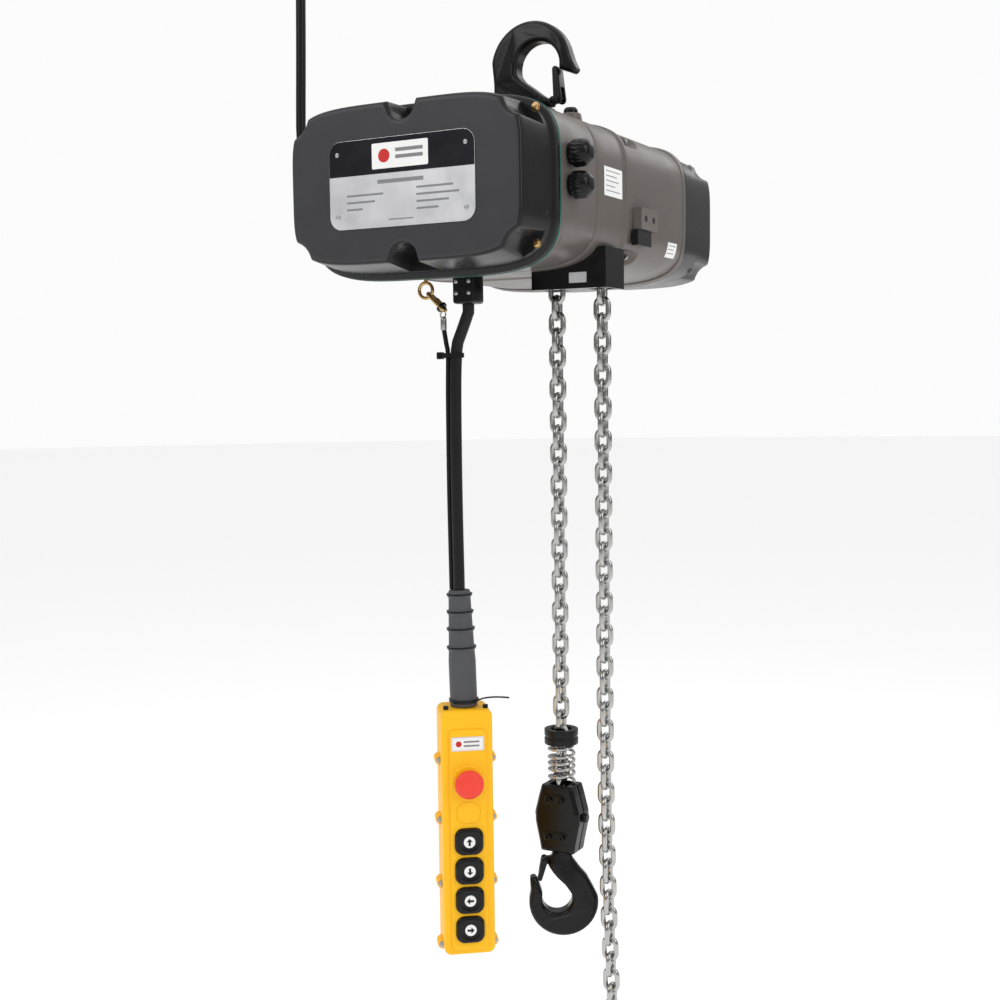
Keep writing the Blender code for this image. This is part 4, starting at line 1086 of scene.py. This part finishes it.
def arrow(degrees):
    """A plain arrow's outline, pointing up before it is turned."""
    points = ((0, 4.7), (4.0, 0.5), (1.4, 0.5), (1.4, -4.5), (-1.4, -4.5), (-1.4, 0.5), (-4.0, 0.5))
    spin = Matrix.Rotation(math.radians(degrees), 2)
    return [spin @ Vector(point) for point in points]


def buttons():
    for number, (drop, degrees) in enumerate(zip(BUTTON_DROPS, (0, 180, 90, -90)), 1):
        place = PENDANT @ at(0, 0, PENDANT_TOP - drop)
        name, body = f"button_{number}", f"key_{number}"
        dish = moved(turned(((13.2, -40), (13.2, -36.2), (11.4, -35.5), (0.4, -35.5)), 64), ALONG_Y)
        cap = cut(prism(rounded(36, 34, 10.5, 8), -36.5, -23, 3.2, 0.8, 5), dish)
        piece(f"{name}_cap", moved(cap, place), "black_plastic", body, [name])
        disc = lathe(((0.4, -35.9), (7.1, -35.9), (7.4, -35.52)), 0.2, 64)
        piece(f"{name}_disc", moved(disc, place, ALONG_Y), "black_plastic", body, look="white_print")
        sign = loft([at_depth(arrow(degrees), depth) for depth in (-36.08, -35.92)])
        piece(f"{name}_arrow", moved(sign, place), "black_plastic", body, look="black_print")


def boot():
    """The cable's rubber sleeve, leaning to the cable, with a tie round each of its ribs."""
    foot = Vector((8.6, GLAND_Y, -651.7))
    rise = Vector((4.2, GLAND_Y, -502)) - foot
    place = Matrix.Translation(foot) @ Matrix.Rotation(math.atan2(rise.x, rise.z), 4, "Y")
    profile = [(7.7, 0), (17.5, 0), (17.5, 58)]
    bands = []
    for drop in BOOT_RIBS:
        level = rise.length - drop
        radius = 14 + 2.6 * drop / BOOT_RIBS[0]
        profile += [(radius, level - 4.5), (radius + 1.7, level - 3), (radius + 2.0, level - 0.5),
                    (radius + 1.6, level + 1), (radius - 0.3, level + 1.8)]
        bands.append(lathe(((radius + 1, level - 1.6), (radius + 2.5, level - 1.6),
                            (radius + 2.5, level + 0.8), (radius + 1, level + 0.8)), 0.5, 64, True, 2))
    profile += [(13.5, rise.length), (7.7, rise.length)]
    piece("cable_boot_sleeve", moved(lathe(profile, 0.9, 64, True, 2), place), "grey_rubber", "pendant",
          ["cable_boot"])
    piece("cable_boot_bands", moved(join(bands), place), "black_rubber", "pendant")


# ---- the rest of the model's own parts ----

def dress_cad():
    """Gives each model part that still shows the look of its slot in the record."""
    slots = {entry["node"]: entry["material_slot"] for entry in frame["record"]["subparts"]}
    for name, thing in frame["nodes"].items():
        if not thing.hide_render:
            thing.data.materials.clear()
            thing.data.materials.append(finish(slots[name]))


def covers():
    cover("front_cover", 0.0, 72.0, 52.0, FRONT_FLANGE)
    cover("rear_cover", 630.0, 484.3, 562.0, REAR_FLANGE)


def labels():
    side_label("gear_label", 198, 254, -7, 29, 5)
    side_label("motor_label", 418, 452, -67, -47, 3)


def latches():
    latch_plate("top_latch", "suspension_latch", TOP_HOOK, (39, 122), (36, 159), 4)
    latch_plate("lower_latch", "load_latch", LOWER_HOOK, (-24.5, -14), (-30.5, -38), 3)


for build in (camera, cords, studio, covers, gasket, electrical_housing, center_housing, motor_housing,
              end_shield, nameplate, cover_screws, labels, cable_glands, pendant_gland, eye_and_snap,
              cable_ties, oil_plug, top_hook, lower_hook, latches, hook_block, chains, buffer,
              pendant_shells, pendant_details, emergency_stop, buttons, boot, dress_cad):
    build()
bpy.context.scene.view_settings.view_transform = "Standard"
